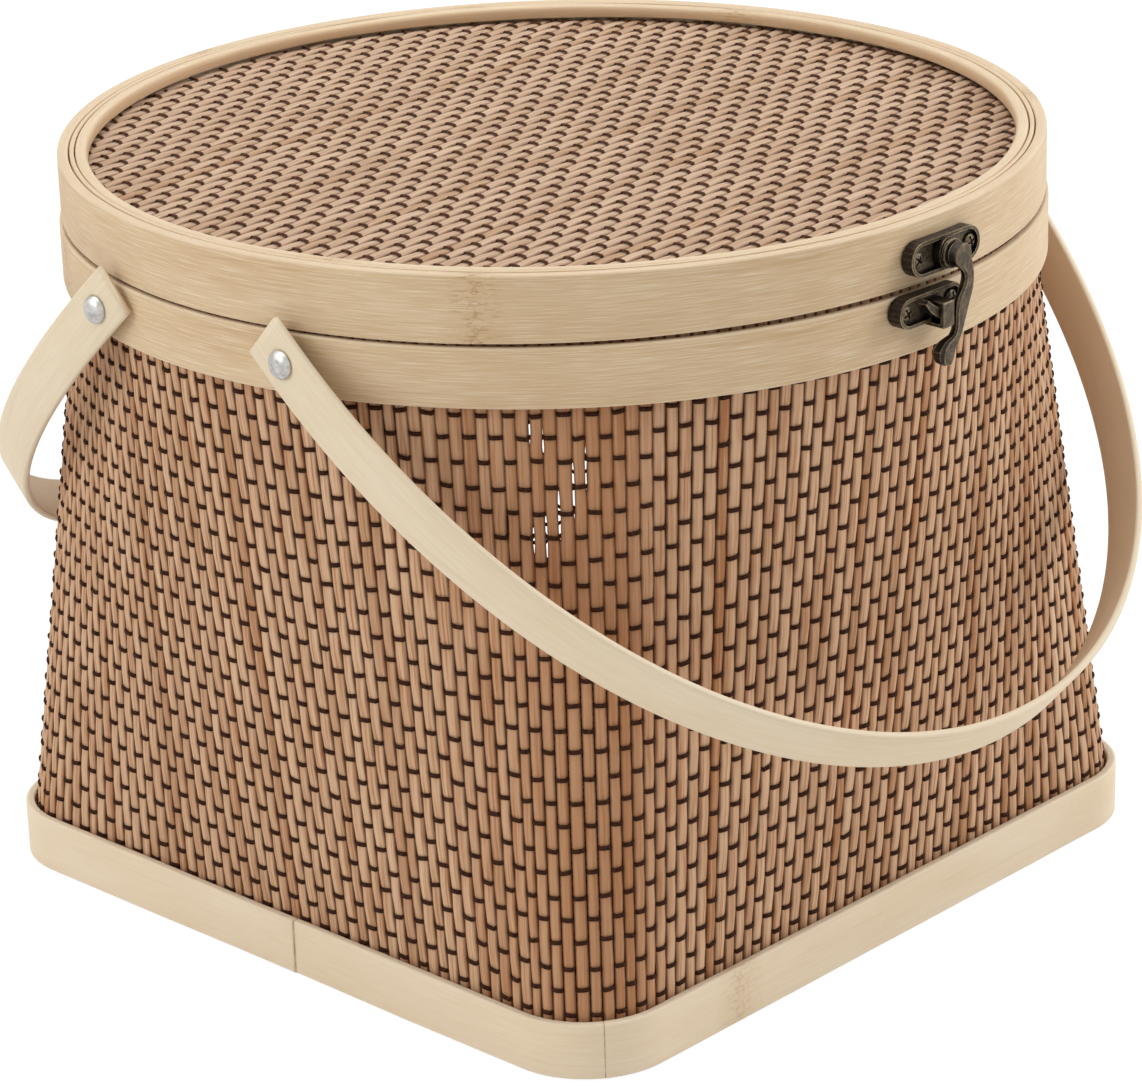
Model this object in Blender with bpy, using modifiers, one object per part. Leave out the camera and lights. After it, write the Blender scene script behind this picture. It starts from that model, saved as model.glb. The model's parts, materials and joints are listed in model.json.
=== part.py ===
"""Woven bamboo food basket with a square foot, a round mouth, a hinged lid and two bail handles.

The walls are a mat of upright bamboo sticks, ruled from a rounded square at the foot to a
circle at the rim, and shown by ridges that stand for two sticks each. Bent bamboo hoops grip
the mat at both ends, a second set of hoops makes the lid round a flat mat, and a small swing
hook on the lid drops into a keeper on the rim.
Metres, +Z up, the foot on Z = 0, the clasp at -Y and the lid hinge at +Y.
"""
import math

import bpy
import bmesh
from mathutils import Matrix, Vector

for stale in list(bpy.data.objects):
    bpy.data.objects.remove(stale, do_unlink=True)

# Gaps between pieces
FIT_GAP = 0.0003
RUN_GAP = 0.0003
CUT_OVERRUN = 0.0020
WELD_DISTANCE = 0.00001

# Basket body
BASE_HALF = 0.1015
BASE_CORNER_RADIUS = 0.0220
BASE_BAND_THICKNESS = 0.0022
BASE_BAND_HEIGHT = 0.0137
FOOT_BAND_THICKNESS = 0.0030
FOOT_BAND_HEIGHT = 0.0060
PANEL_THICKNESS = 0.0024
MAT_THICKNESS = 0.0022
MAT_LIFT = 0.0004
MAT_RELIEF = 0.0009
WALL_STICKS = 240
STICKS_PER_RIDGE = 2
RIM_RADIUS = 0.1155
RIM_TOP = 0.1639
RIM_HEIGHT = 0.0139
RIM_OUTER_THICKNESS = 0.0022
RIM_INNER_THICKNESS = 0.0025
MAT_PROUD = 0.0007
HOOP_EASE = 0.0005

# Lid
LID_STEP_IN = 0.0005
LID_HEIGHT = 0.0150
LID_OUTER_PLY = 0.0026
LID_MIDDLE_PLY = 0.0010
LID_INNER_PLY = 0.0029
LID_MAT_DROP = 0.0035
LID_MAT_THICKNESS = 0.0024
LID_STICK_PITCH = 0.00332
LID_STICK_TURN_DEG = 3.7

# Handles
HANDLE_BOW = 0.0257
HANDLE_PINCH = 0.0010
HANDLE_TAIL = 0.0080
STRAP_WIDTH = 0.0128
STRAP_THICKNESS = 0.0018
PIVOT_OFFSET = 0.0300
PIVOT_BELOW_RIM = 0.0055
FRONT_HANG_GAP = 0.0130
BACK_HANG_GAP = 0.0111

# Handle rivets
RIVET_RADIUS = 0.0015
RIVET_HEAD_RADIUS = 0.0033
RIVET_HEAD_HEIGHT = 0.0017
RIVET_TAIL_RADIUS = 0.0024
RIVET_TAIL_HEIGHT = 0.0010
SPACER_RADIUS = 0.0037
SPACER_LENGTH = 0.0016
BURR_RADIUS = 0.0034
BURR_THICKNESS = 0.0010

# Clasp
PLATE_LENGTH = 0.0235
PLATE_HEIGHT = 0.0080
PLATE_STANDS = 0.0025
DISH_DEPTH = 0.0012
DISH_RIM = 0.0008
CLASP_ABOVE_SEAM = 0.0073
CATCH_LENGTH = 0.0215
CATCH_TALL = 0.0070
CATCH_BELOW_SEAM = 0.0036
CATCH_OFFSET = 0.0056
CATCH_SCREW_SPREAD = 0.0077
BOSS_RADIUS = 0.0036
BOSS_HEIGHT = 0.0010
ARM_SHAFT_RADIUS = 0.0015
ARM_FLANGE_RADIUS = 0.0033
ARM_FLANGE_THICKNESS = 0.0008
ARM_NECK_RADIUS = 0.0023
ARM_NECK_LENGTH = 0.0006
ARM_HEAD_RADIUS = 0.0028
ARM_HEAD_EASE = 0.0004
ARM_HEAD_PROUD = 0.0002
ARM_THICKNESS = 0.0020
ARM_REACH = 0.0240
PEEN_RADIUS = 0.0023
PEEN_THICKNESS = 0.0006
PRONG_RADIUS = 0.0133
PRONG_WIDTH = 0.0022
PRONG_THICKNESS = 0.0022
PRONG_SINK = 0.0018
PRONG_START_DEG = 3.0
PRONG_SWEEP_DEG = 53.0
PRONG_TIP_SHARE = 0.55
KEEPER_LENGTH = 0.0038
KEEPER_WALL = 0.0009
KEEPER_SHIFT = 0.0042
KEEPER_EASE = 0.0004

# Screws
SCREW_RADIUS = 0.0009
SCREW_HEAD_RADIUS = 0.0018
SCREW_HEAD_HEIGHT = 0.0007
SCREW_GRIP = 0.0017
SCREW_SPREAD = 0.0090

# Hinge
LEAF_WIDTH = 0.0250
LEAF_STANDS = 0.0019
LEAF_MARGIN = 0.0024
LEAF_CORNER_RADIUS = 0.0020
KNUCKLE_RADIUS = 0.0021
KNUCKLE_STANDS = 0.0012
HINGE_PIN_RADIUS = 0.0009
HINGE_PIN_HEAD = 0.0008
MIDDLE_KNUCKLE_LENGTH = 0.0090

# How finely round things are divided
HOOP_STEPS = 60
CORNER_STEPS = 8
SIDE_STEPS = 12
RULED_STEPS = 3
RIDGE_RULED_STEPS = 2
STRAP_STEPS = 36
HOLE_STEPS = 16
STUD_STEPS = 10
SPINE_FINENESS = 2
ARM_END_STEPS = 2
ARM_END_DEG = 55.0
ARC_STEPS = 9
DOME_STEPS = 4
HANG_TRIES = 24

# Heights that follow from the sizes above
RIM_BOTTOM = RIM_TOP - RIM_HEIGHT
MAT_TOP = RIM_TOP + MAT_PROUD
LID_BOTTOM = MAT_TOP + FIT_GAP
LID_TOP = LID_BOTTOM + LID_HEIGHT
LID_MAT_TOP = LID_TOP - LID_MAT_DROP
LID_MAT_BOTTOM = LID_MAT_TOP - LID_MAT_THICKNESS
SEAM = (RIM_TOP + LID_BOTTOM) / 2
PIVOT_HEIGHT = RIM_TOP - PIVOT_BELOW_RIM

# Offsets of each layer, inwards from the face of the hoop that it lies in
MAT_INSET = RIM_OUTER_THICKNESS + FIT_GAP
RIM_INNER_INSET = MAT_INSET + MAT_THICKNESS + FIT_GAP
BASE_MAT_INSET = BASE_BAND_THICKNESS + FIT_GAP
FOOT_INSET = BASE_MAT_INSET + MAT_THICKNESS + FIT_GAP

# Handle rivet depths, outwards from the middle of the basket, where they cross the round rim
SPACER_BACK = math.sqrt(RIM_RADIUS ** 2 - (PIVOT_OFFSET - SPACER_RADIUS) ** 2) + FIT_GAP
SPACER_FACE = SPACER_BACK + SPACER_LENGTH
HANDLE_SPREAD = SPACER_FACE + FIT_GAP + STRAP_THICKNESS / 2
HANDLE_DROP = HANDLE_SPREAD + HANDLE_BOW
RIM_INSIDE = RIM_RADIUS - RIM_INNER_INSET - RIM_INNER_THICKNESS
BURR_FACE = math.sqrt(RIM_INSIDE ** 2 - (PIVOT_OFFSET + BURR_RADIUS) ** 2) - FIT_GAP

# Clasp depths, outwards from the axis of the basket
LID_RADIUS = RIM_RADIUS - LID_STEP_IN
CLASP_SEAT = LID_RADIUS + FIT_GAP
CLASP_FACE = CLASP_SEAT + PLATE_STANDS
CLASP_FLOOR = CLASP_FACE - DISH_DEPTH
BOSS_FACE = CLASP_FACE + BOSS_HEIGHT
ARM_FLANGE_BACK = BOSS_FACE + RUN_GAP
ARM_NECK_BACK = ARM_FLANGE_BACK + ARM_FLANGE_THICKNESS
ARM_BACK = ARM_NECK_BACK + ARM_NECK_LENGTH
ARM_FACE = ARM_BACK + ARM_THICKNESS
ARM_HEAD_FACE = ARM_FACE + ARM_HEAD_PROUD
PRONG_BACK = ARM_BACK - PRONG_SINK
PRONG_FACE = PRONG_BACK + PRONG_THICKNESS
CATCH_SEAT = RIM_RADIUS + FIT_GAP
CATCH_FACE = CATCH_SEAT + PLATE_STANDS
CATCH_FLOOR = CATCH_FACE - DISH_DEPTH
KEEPER_INSIDE = PRONG_FACE + RUN_GAP
KEEPER_FACE = KEEPER_INSIDE + KEEPER_WALL
CLASP_HEIGHT = SEAM + CLASP_ABOVE_SEAM
CATCH_HEIGHT = SEAM - CATCH_BELOW_SEAM

# Hinge depths, outwards from the axis of the basket
LID_LEAF_SEAT = LID_RADIUS + FIT_GAP
BODY_LEAF_SEAT = RIM_RADIUS + FIT_GAP
LEAF_FACE = BODY_LEAF_SEAT + LEAF_STANDS
HINGE_DEPTH = LEAF_FACE + KNUCKLE_STANDS

# The swing hook's spine, as shares of its reach: right, up, half width. The last number is its
# thickness there, as a share of the arm's
ARM_SPINE_SHARES = (
    (0.000, 0.000, 0.102, 0.90),
    (0.065, -0.079, 0.085, 0.90),
    (0.102, -0.154, 0.065, 0.95),
    (0.113, -0.233, 0.059, 1.00),
    (0.098, -0.317, 0.067, 1.00),
    (0.056, -0.400, 0.081, 1.00),
    (0.019, -0.475, 0.087, 1.00),
    (0.000, -0.550, 0.075, 1.00),
    (-0.017, -0.625, 0.058, 1.00),
    (-0.038, -0.700, 0.047, 1.00),
    (-0.081, -0.771, 0.048, 1.10),
    (-0.150, -0.829, 0.079, 1.50),
    (-0.192, -0.900, 0.098, 1.90),
    (-0.202, -0.954, 0.079, 1.60),
)

# The hook's flat section with its bevels, as shares of its half width and half thickness
ARM_BEVEL_SHARE = 0.72
ARM_FLANK_SHARE = 0.50
ARM_SECTION_SHARES = (
    (1.0, ARM_FLANK_SHARE),
    (ARM_BEVEL_SHARE, 1.0),
    (-ARM_BEVEL_SHARE, 1.0),
    (-1.0, ARM_FLANK_SHARE),
    (-1.0, -ARM_FLANK_SHARE),
    (-ARM_BEVEL_SHARE, -1.0),
    (ARM_BEVEL_SHARE, -1.0),
    (1.0, -ARM_FLANK_SHARE),
)
ARM_END_SHARE = 0.6

BAMBOO = ((0.80, 0.66, 0.44, 1.0), 0.50, 0.0)
WOVEN = ((0.48, 0.27, 0.14, 1.0), 0.62, 0.0)
BRONZE = ((0.12, 0.10, 0.075, 1.0), 0.38, 1.0)
ALUMINIUM = ((0.72, 0.71, 0.69, 1.0), 0.35, 1.0)

parts = bpy.data.collections.new("bamboo_food_basket")
cutters = bpy.data.collections.new("cutters")
for group in (parts, cutters):
    bpy.context.scene.collection.children.link(group)


def dress(obj, finish):
    """Give a piece its own material and put it among the parts."""
    colour, roughness, metallic = finish
    skin = bpy.data.materials.new(obj.name + "_finish")
    skin.use_nodes = True
    shader = skin.node_tree.nodes["Principled BSDF"]
    shader.inputs["Base Color"].default_value = colour
    shader.inputs["Roughness"].default_value = roughness
    shader.inputs["Metallic"].default_value = metallic
    obj.data.materials.clear()
    obj.data.materials.append(skin)
    parts.objects.link(obj)
    return obj


def hide(obj):
    """Keep a cutter or a piece that is joined to another out of the model."""
    cutters.objects.link(obj)
    obj.hide_render = True
    obj.display_type = "WIRE"
    return obj


def boolean(target, other, operation):
    step = target.modifiers.new(operation.lower() + "_" + other.name, "BOOLEAN")
    step.object = other
    step.operation = operation
    step.solver = "EXACT"


def cut(target, *others):
    for other in others:
        boolean(target, other, "DIFFERENCE")


def join(target, *others):
    for other in others:
        boolean(target, other, "UNION")


def trim(target, other):
    """Keep only what lies inside the other solid."""
    boolean(target, other, "INTERSECT")


def carry(carrier, *pieces):
    """Parent pieces to the empty of the body they move with, where they stand."""
    for piece in pieces:
        piece.parent = carrier
        piece.matrix_parent_inverse = carrier.matrix_world.inverted()


def joint_empty(name, place):
    empty = bpy.data.objects.new(name, None)
    empty.location = place
    empty.empty_display_size = STRAP_WIDTH
    parts.objects.link(empty)
    bpy.context.view_layer.update()
    return empty


def turned(name, profile, steps, closed=True):
    """Turn a profile of (radius, height) points about Z. It runs down its outer side."""
    mesh = bpy.data.meshes.new(name)
    points = [(radius, 0.0, height) for radius, height in profile]
    edges = [(i, i + 1) for i in range(len(points) - 1)]
    if closed:
        edges.append((len(points) - 1, 0))
    mesh.from_pydata(points, edges, [])
    obj = bpy.data.objects.new(name, mesh)
    screw = obj.modifiers.new("turn", "SCREW")
    screw.axis = "Z"
    screw.angle = 2 * math.pi
    screw.steps = steps
    screw.render_steps = steps
    screw.use_merge_vertices = True
    screw.merge_threshold = WELD_DISTANCE
    screw.use_smooth_shade = True
    return obj


def face_front(obj, across, height, depth=0.0):
    """Stand a piece on the front: its local +Z points out of the basket along -Y."""
    obj.rotation_euler = (math.pi / 2, 0.0, 0.0)
    obj.location = (across, -depth, height)
    return obj


def face_back(obj, across, height, depth=0.0):
    """Stand a piece on the back: its local +Z points out of the basket along +Y."""
    obj.rotation_euler = (math.pi / 2, 0.0, math.pi)
    obj.location = (across, depth, height)
    return obj


def face_side(obj, side, along, height, out=0.0):
    """Stand a piece on the left (-1) or right (+1) side, local +Z outwards."""
    obj.rotation_euler = (0.0, side * math.pi / 2, 0.0)
    obj.location = (side * out, along, height)
    return obj


def outline_curve(name, outlines, low, high):
    """A flat outline, with holes if more than one loop is given, from low to high."""
    curve = bpy.data.curves.new(name, "CURVE")
    curve.dimensions = "2D"
    curve.fill_mode = "BOTH"
    curve.extrude = (high - low) / 2
    for loop in outlines:
        spline = curve.splines.new("POLY")
        spline.points.add(len(loop) - 1)
        for point, (across, up) in zip(spline.points, loop):
            point.co = (across, up, 0.0, 1.0)
        spline.use_cyclic_u = True
    obj = bpy.data.objects.new(name, curve)
    obj.location.z = (low + high) / 2
    return obj


def solid_from_curve(curve_obj):
    """Turn a filled curve into one closed mesh object with the same name and place."""
    bpy.context.scene.collection.objects.link(curve_obj)
    bpy.context.view_layer.update()
    seen = curve_obj.evaluated_get(bpy.context.evaluated_depsgraph_get())
    mesh = bpy.data.meshes.new_from_object(seen)
    place = curve_obj.matrix_world.copy()
    name = curve_obj.name
    bpy.data.objects.remove(curve_obj, do_unlink=True)
    shape = bmesh.new()
    shape.from_mesh(mesh)
    bmesh.ops.remove_doubles(shape, verts=shape.verts, dist=WELD_DISTANCE)
    bmesh.ops.recalc_face_normals(shape, faces=shape.faces)
    shape.to_mesh(mesh)
    shape.free()
    obj = bpy.data.objects.new(name, mesh)
    obj.matrix_world = place
    return obj


def slab(name, outline, near, far, stand, across, height):
    """A flat piece on the front or back, between two depths from the basket's axis."""
    obj = outline_curve(name, [outline], near, far)
    stand(obj, across, height, (near + far) / 2)
    return solid_from_curve(obj)


def drum(name, radius, near, far, steps=HOLE_STEPS):
    """A plain cylinder along local Z from near to far."""
    shape = bmesh.new()
    bmesh.ops.create_cone(
        shape, cap_ends=True, segments=steps, radius1=radius, radius2=radius, depth=far - near
    )
    bmesh.ops.translate(shape, verts=shape.verts, vec=(0.0, 0.0, (near + far) / 2))
    mesh = bpy.data.meshes.new(name)
    shape.to_mesh(mesh)
    shape.free()
    return bpy.data.objects.new(name, mesh)


def block(name, low, high):
    """A box between two corners."""
    shape = bmesh.new()
    bmesh.ops.create_cube(shape, size=1.0)
    size = [b - a for a, b in zip(low, high)]
    middle = [(a + b) / 2 for a, b in zip(low, high)]
    bmesh.ops.scale(shape, verts=shape.verts, vec=size)
    bmesh.ops.translate(shape, verts=shape.verts, vec=middle)
    mesh = bpy.data.meshes.new(name)
    shape.to_mesh(mesh)
    shape.free()
    return bpy.data.objects.new(name, mesh)


def bar_along_x(name, radius, start, end, along, height, steps=HOLE_STEPS):
    """A cylinder along X from start to end."""
    obj = drum(name, radius, start, end, steps)
    obj.rotation_euler = (0.0, math.pi / 2, 0.0)
    obj.location = (0.0, along, height)
    return obj


def ease_edges(obj, width, segments=1):
    bevel = obj.modifiers.new("ease", "BEVEL")
    bevel.width = width
    bevel.segments = segments
    bevel.limit_method = "ANGLE"
    bevel.angle_limit = math.radians(50)
    bevel.use_clamp_overlap = True


def hoop_profile(outer, thickness, low, high, ease=0.0):
    """Section of a bent hoop, with its outer edges eased where ease isn't zero."""
    inner = outer - thickness
    if ease:
        return [
            (outer, high - ease),
            (outer, low + ease),
            (outer - ease, low),
            (inner, low),
            (inner, high),
            (outer - ease, high),
        ]
    return [(outer, high), (outer, low), (inner, low), (inner, high)]


def outline_shares(side_steps):
    """Where the foot's outline has its points, as shares of a turn: bends, then sides."""
    flat = BASE_HALF - BASE_CORNER_RADIUS
    arc = BASE_CORNER_RADIUS * math.pi / 2
    runs = [flat + arc * i / CORNER_STEPS for i in range(CORNER_STEPS + 1)]
    runs += [flat + arc + 2 * flat * i / side_steps for i in range(1, side_steps)]
    return [(side + run / (2 * flat + arc)) / 4 for side in range(4) for run in runs]


def foot_point(share, inset):
    """A point of the foot's rounded square, drawn in by inset, at a share of its turn.

    The turn starts at the middle of the front and runs towards +X. The share is how far round
    the outer edge the point lies, so points with the same share lie on one ray at any inset.
    """
    flat = BASE_HALF - BASE_CORNER_RADIUS
    arc = BASE_CORNER_RADIUS * math.pi / 2
    side = math.floor(4 * share)
    run = (4 * share - side) * (2 * flat + arc)
    if run < flat:
        spot = Vector((run, inset - BASE_HALF))
    elif run < flat + arc:
        angle = (run - flat) / BASE_CORNER_RADIUS
        radius = BASE_CORNER_RADIUS - inset
        spot = Vector((flat + radius * math.sin(angle), -flat - radius * math.cos(angle)))
    else:
        spot = Vector((BASE_HALF - inset, run - arc - 2 * flat))
    return Matrix.Rotation(side * math.pi / 2, 2) @ spot


def square_outline(inset):
    return [tuple(foot_point(share, inset)) for share in outline_shares(1)]


def wall_point(share, depth, height):
    """A point of the mat: foot square below, rim circle above, ruled in between."""
    rise = (height - BASE_BAND_HEIGHT) / (RIM_BOTTOM - BASE_BAND_HEIGHT)
    rise = min(max(rise, 0.0), 1.0)
    angle = share * 2 * math.pi - math.pi / 2
    mouth = Vector((math.cos(angle), math.sin(angle))) * (RIM_RADIUS - MAT_INSET - depth)
    spot = foot_point(share, BASE_MAT_INSET + depth).lerp(mouth, rise)
    return Vector((spot.x, spot.y, height))


def wall_loft(name, shares, depths, overrun, ruled_steps):
    """A closed solid through rings of wall points, with a depth into the mat for each share."""
    levels = [MAT_LIFT - overrun]
    for i in range(ruled_steps + 1):
        levels.append(BASE_BAND_HEIGHT + (RIM_BOTTOM - BASE_BAND_HEIGHT) * i / ruled_steps)
    levels.append(MAT_TOP + overrun)
    shape = bmesh.new()
    rings = []
    for level in levels:
        points = [wall_point(share, depth, level) for share, depth in zip(shares, depths)]
        rings.append([shape.verts.new(point) for point in points])
    for ring, above in zip(rings, rings[1:]):
        for i, corner in enumerate(ring):
            j = (i + 1) % len(ring)
            shape.faces.new((corner, ring[j], above[j], above[i]))
    shape.faces.new(rings[0][::-1])
    shape.faces.new(rings[-1])
    mesh = bpy.data.meshes.new(name)
    shape.to_mesh(mesh)
    shape.free()
    return bpy.data.objects.new(name, mesh)


def woven_wall(name):
    """The mat of the body, ridged outside and smooth inside."""
    edges = 2 * WALL_STICKS // STICKS_PER_RIDGE
    ridges = [i / edges for i in range(edges)]
    reliefs = [MAT_RELIEF * (i % 2) for i in range(edges)]
    wall = wall_loft(name, ridges, reliefs, 0.0, RIDGE_RULED_STEPS)
    shares = outline_shares(SIDE_STEPS)
    depths = [MAT_THICKNESS] * len(shares)
    hollow = wall_loft("wall_hollow", shares, depths, CUT_OVERRUN, RULED_STEPS)
    cut(wall, hide(hollow))
    return wall


def flat_mat(name, radius, low, high):
    """A round mat, ridged on its upper face and smooth below."""
    ridge = LID_STICK_PITCH * STICKS_PER_RIDGE
    half = math.ceil(radius / ridge)
    edge = [(half * ridge, low), (-half * ridge, low)]
    for i in range(-2 * half, 2 * half + 1):
        edge.append((ridge * i / 2, high - MAT_RELIEF * (i % 2)))
    mat = outline_curve(name, [edge], -half * ridge, half * ridge)
    mat.rotation_euler = (math.pi / 2, 0.0, math.pi / 2 + math.radians(LID_STICK_TURN_DEG))
    mat = solid_from_curve(mat)
    disc = drum(name + "_disc", radius, low - CUT_OVERRUN, high + CUT_OVERRUN, HOOP_STEPS)
    trim(mat, hide(disc))
    return mat


def stadium(length, height):
    """A long slot shape: two half circles and two straight sides."""
    radius = height / 2
    reach = length / 2 - radius
    points = []
    for side in (1, -1):
        for i in range(ARC_STEPS + 1):
            angle = math.pi * i / ARC_STEPS - math.pi / 2
            points.append((side * (reach + radius * math.cos(angle)), side * radius * math.sin(angle)))
    return points


def rounded_rectangle(half_width, low, high, radius):
    """A rectangle about x = 0 from low to high, with its four corners rounded."""
    points = []
    corners = (
        (half_width - radius, low + radius, -math.pi / 2),
        (half_width - radius, high - radius, 0.0),
        (radius - half_width, high - radius, math.pi / 2),
        (radius - half_width, low + radius, math.pi),
    )
    for across, up, start in corners:
        for i in range(DOME_STEPS + 1):
            angle = start + math.pi / 2 * i / DOME_STEPS
            points.append((across + radius * math.cos(angle), up + radius * math.sin(angle)))
    return points


def base_bands():
    """The foot: an outer and an inner hoop that grip the mat, and the floor panel."""
    outer = outline_curve(
        "base_band_outer",
        [square_outline(0.0), square_outline(BASE_BAND_THICKNESS)],
        0.0,
        BASE_BAND_HEIGHT,
    )
    inner = outline_curve(
        "base_band_inner",
        [square_outline(FOOT_INSET), square_outline(FOOT_INSET + FOOT_BAND_THICKNESS)],
        0.0,
        FOOT_BAND_HEIGHT,
    )
    floor = FOOT_BAND_HEIGHT + FIT_GAP
    panel = outline_curve(
        "base_panel", [square_outline(FOOT_INSET)], floor, floor + PANEL_THICKNESS
    )
    pieces = [solid_from_curve(piece) for piece in (outer, inner, panel)]
    dress(pieces[0], BAMBOO)
    dress(pieces[1], BAMBOO)
    dress(pieces[2], WOVEN)
    return pieces


def rim_bands():
    """The mouth: two round hoops with the mat between them."""
    outer = turned(
        "rim_band_outer",
        hoop_profile(RIM_RADIUS, RIM_OUTER_THICKNESS, RIM_BOTTOM, RIM_TOP, HOOP_EASE),
        HOOP_STEPS,
    )
    inner = turned(
        "rim_band_inner",
        hoop_profile(RIM_RADIUS - RIM_INNER_INSET, RIM_INNER_THICKNESS, RIM_BOTTOM, RIM_TOP),
        HOOP_STEPS,
    )
    return [dress(outer, BAMBOO), dress(inner, BAMBOO)]


def lid_hoops():
    """The lid: an outer and a thin middle ply, and two inner rings that hold the mat."""
    middle_radius = LID_RADIUS - LID_OUTER_PLY - FIT_GAP
    inner_radius = middle_radius - LID_MIDDLE_PLY - FIT_GAP
    outer = turned(
        "lid_hoop_outer",
        hoop_profile(LID_RADIUS, LID_OUTER_PLY, LID_BOTTOM, LID_TOP, HOOP_EASE),
        HOOP_STEPS,
    )
    middle = turned(
        "lid_hoop_middle",
        hoop_profile(middle_radius, LID_MIDDLE_PLY, LID_BOTTOM, LID_TOP),
        HOOP_STEPS,
    )
    upper = turned(
        "lid_ring_upper",
        hoop_profile(inner_radius, LID_INNER_PLY, LID_MAT_TOP + FIT_GAP, LID_TOP),
        HOOP_STEPS,
    )
    lower = turned(
        "lid_ring_lower",
        hoop_profile(inner_radius, LID_INNER_PLY, LID_BOTTOM, LID_MAT_BOTTOM - FIT_GAP),
        HOOP_STEPS,
    )
    mat = flat_mat("lid_mat", inner_radius, LID_MAT_BOTTOM, LID_MAT_TOP)
    for hoop in (outer, middle, upper, lower):
        dress(hoop, BAMBOO)
    dress(mat, WOVEN)
    return [outer, middle, upper, lower, mat]


def strap_point(angle):
    """The bail's bow: half the spread at the pivots, the full drop at the middle."""
    bow = HANDLE_SPREAD + (HANDLE_DROP - HANDLE_SPREAD) * math.sin(angle) ** 2
    bow -= HANDLE_PINCH * math.sin(2 * angle) ** 2
    return bow * math.cos(angle), bow * math.sin(angle)


def wall_reach(direction, height):
    """How far out the mat's face stands at a height, in a direction from the axis."""
    ray = direction.normalized()
    loop = [wall_point(share, 0.0, height).xy for share in outline_shares(SIDE_STEPS)]
    for start, end in zip(loop, loop[1:] + loop[:1]):
        if ray.cross(start) <= 0 < ray.cross(end):
            return start.cross(end - start) / ray.cross(end - start)
    return RIM_RADIUS


def hang_clearance(tilt):
    """Least gap between the mat and the strap's middle line, below its first bend."""
    gaps = []
    for i in range(STRAP_STEPS // 4, STRAP_STEPS // 2 + 1):
        across, away = strap_point(math.pi * i / STRAP_STEPS)
        spot = Vector((across, -PIVOT_OFFSET - away * math.cos(tilt)))
        height = PIVOT_HEIGHT - away * math.sin(tilt)
        gaps.append(spot.length - wall_reach(spot, height))
    return min(gaps)


def hang_angle(clearance):
    """How far below level the tight rivets hold a strap whose bends clear the mat so far."""
    level, upright = 0.0, math.pi / 2
    for step in range(HANG_TRIES):
        tilt = (level + upright) / 2
        if hang_clearance(tilt) > clearance:
            level = tilt
        else:
            upright = tilt
    return level


def handle(name, pivot_y, tilt):
    """A bent flat strap in its own plane: local X across, local Y away from the pivots."""
    bow = [strap_point(math.pi * i / STRAP_STEPS) for i in range(STRAP_STEPS + 1)]
    bow.insert(0, (HANDLE_SPREAD, -HANDLE_TAIL))
    bow.append((-HANDLE_SPREAD, -HANDLE_TAIL))
    curve = bpy.data.curves.new(name, "CURVE")
    curve.dimensions = "2D"
    curve.fill_mode = "NONE"
    curve.extrude = STRAP_WIDTH / 2
    spline = curve.splines.new("POLY")
    spline.points.add(len(bow) - 1)
    for point, (across, away) in zip(spline.points, bow):
        point.co = (across, away, 0.0, 1.0)
    ribbon = bpy.data.objects.new(name, curve)
    ribbon.location = (0.0, pivot_y, PIVOT_HEIGHT)
    ribbon.rotation_euler = (tilt, 0.0, 0.0)
    strap = solid_from_curve(ribbon)
    thick = strap.modifiers.new("thickness", "SOLIDIFY")
    thick.thickness = STRAP_THICKNESS
    thick.offset = 0.0
    thick.use_even_offset = True
    strap.data.shade_smooth()
    strap.data.set_sharp_from_angle(angle=math.radians(40))
    return dress(strap, BAMBOO)


def dome(radius, height, base):
    """Half profile of a domed head, from its top at the axis down to its rim."""
    slopes = [math.pi / 2 * i / DOME_STEPS for i in range(DOME_STEPS + 1)]
    return [(radius * math.sin(slope), base + height * math.cos(slope)) for slope in slopes]


def handle_rivet(tag, side, along):
    """One handle pivot: a domed rivet, the spacer under the strap and the burr inside."""
    head_base = HANDLE_SPREAD + STRAP_THICKNESS / 2 + RUN_GAP
    burr_back = BURR_FACE - BURR_THICKNESS
    tail_base = burr_back - FIT_GAP
    tail = [(radius, -height) for radius, height in dome(RIVET_TAIL_RADIUS, RIVET_TAIL_HEIGHT, -tail_base)]
    tail.reverse()
    profile = dome(RIVET_HEAD_RADIUS, RIVET_HEAD_HEIGHT, head_base)
    profile += [(RIVET_RADIUS, head_base), (RIVET_RADIUS, tail_base)] + tail
    rivet = turned("rivet_" + tag, profile, STUD_STEPS, closed=False)
    bore = RIVET_RADIUS + FIT_GAP
    spacer = turned(
        "spacer_" + tag,
        hoop_profile(SPACER_RADIUS, SPACER_RADIUS - bore, SPACER_BACK, SPACER_FACE),
        STUD_STEPS,
    )
    burr = turned(
        "burr_" + tag,
        hoop_profile(BURR_RADIUS, BURR_RADIUS - bore, burr_back, BURR_FACE),
        STUD_STEPS,
    )
    for piece in (rivet, spacer, burr):
        face_side(piece, side, along, PIVOT_HEIGHT)
        dress(piece, ALUMINIUM)
    return [rivet, spacer, burr]


def screw(name, stand, across, height, seat, tip):
    """A small round head screw whose head rests at seat and whose shank ends at tip."""
    profile = dome(SCREW_HEAD_RADIUS, SCREW_HEAD_HEIGHT, 0.0)
    profile += [(SCREW_RADIUS, 0.0), (SCREW_RADIUS, tip - seat), (0.0, tip - seat)]
    obj = turned(name, profile, STUD_STEPS, closed=False)
    stand(obj, across, height, seat)
    return dress(obj, BRONZE)


def screw_drill(name, stand, across, height, tip, face):
    """The hole for a screw, from past its tip to past the face of its plate."""
    hole = drum(name, SCREW_RADIUS + FIT_GAP, tip - FIT_GAP, face + CUT_OVERRUN, HOLE_STEPS)
    stand(hole, across, height)
    return hide(hole)


def screw_tip(radius, across):
    """How deep a screw goes: its grip past the curved face of the hoop behind it."""
    return math.sqrt(radius ** 2 - across ** 2) - SCREW_GRIP


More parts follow.
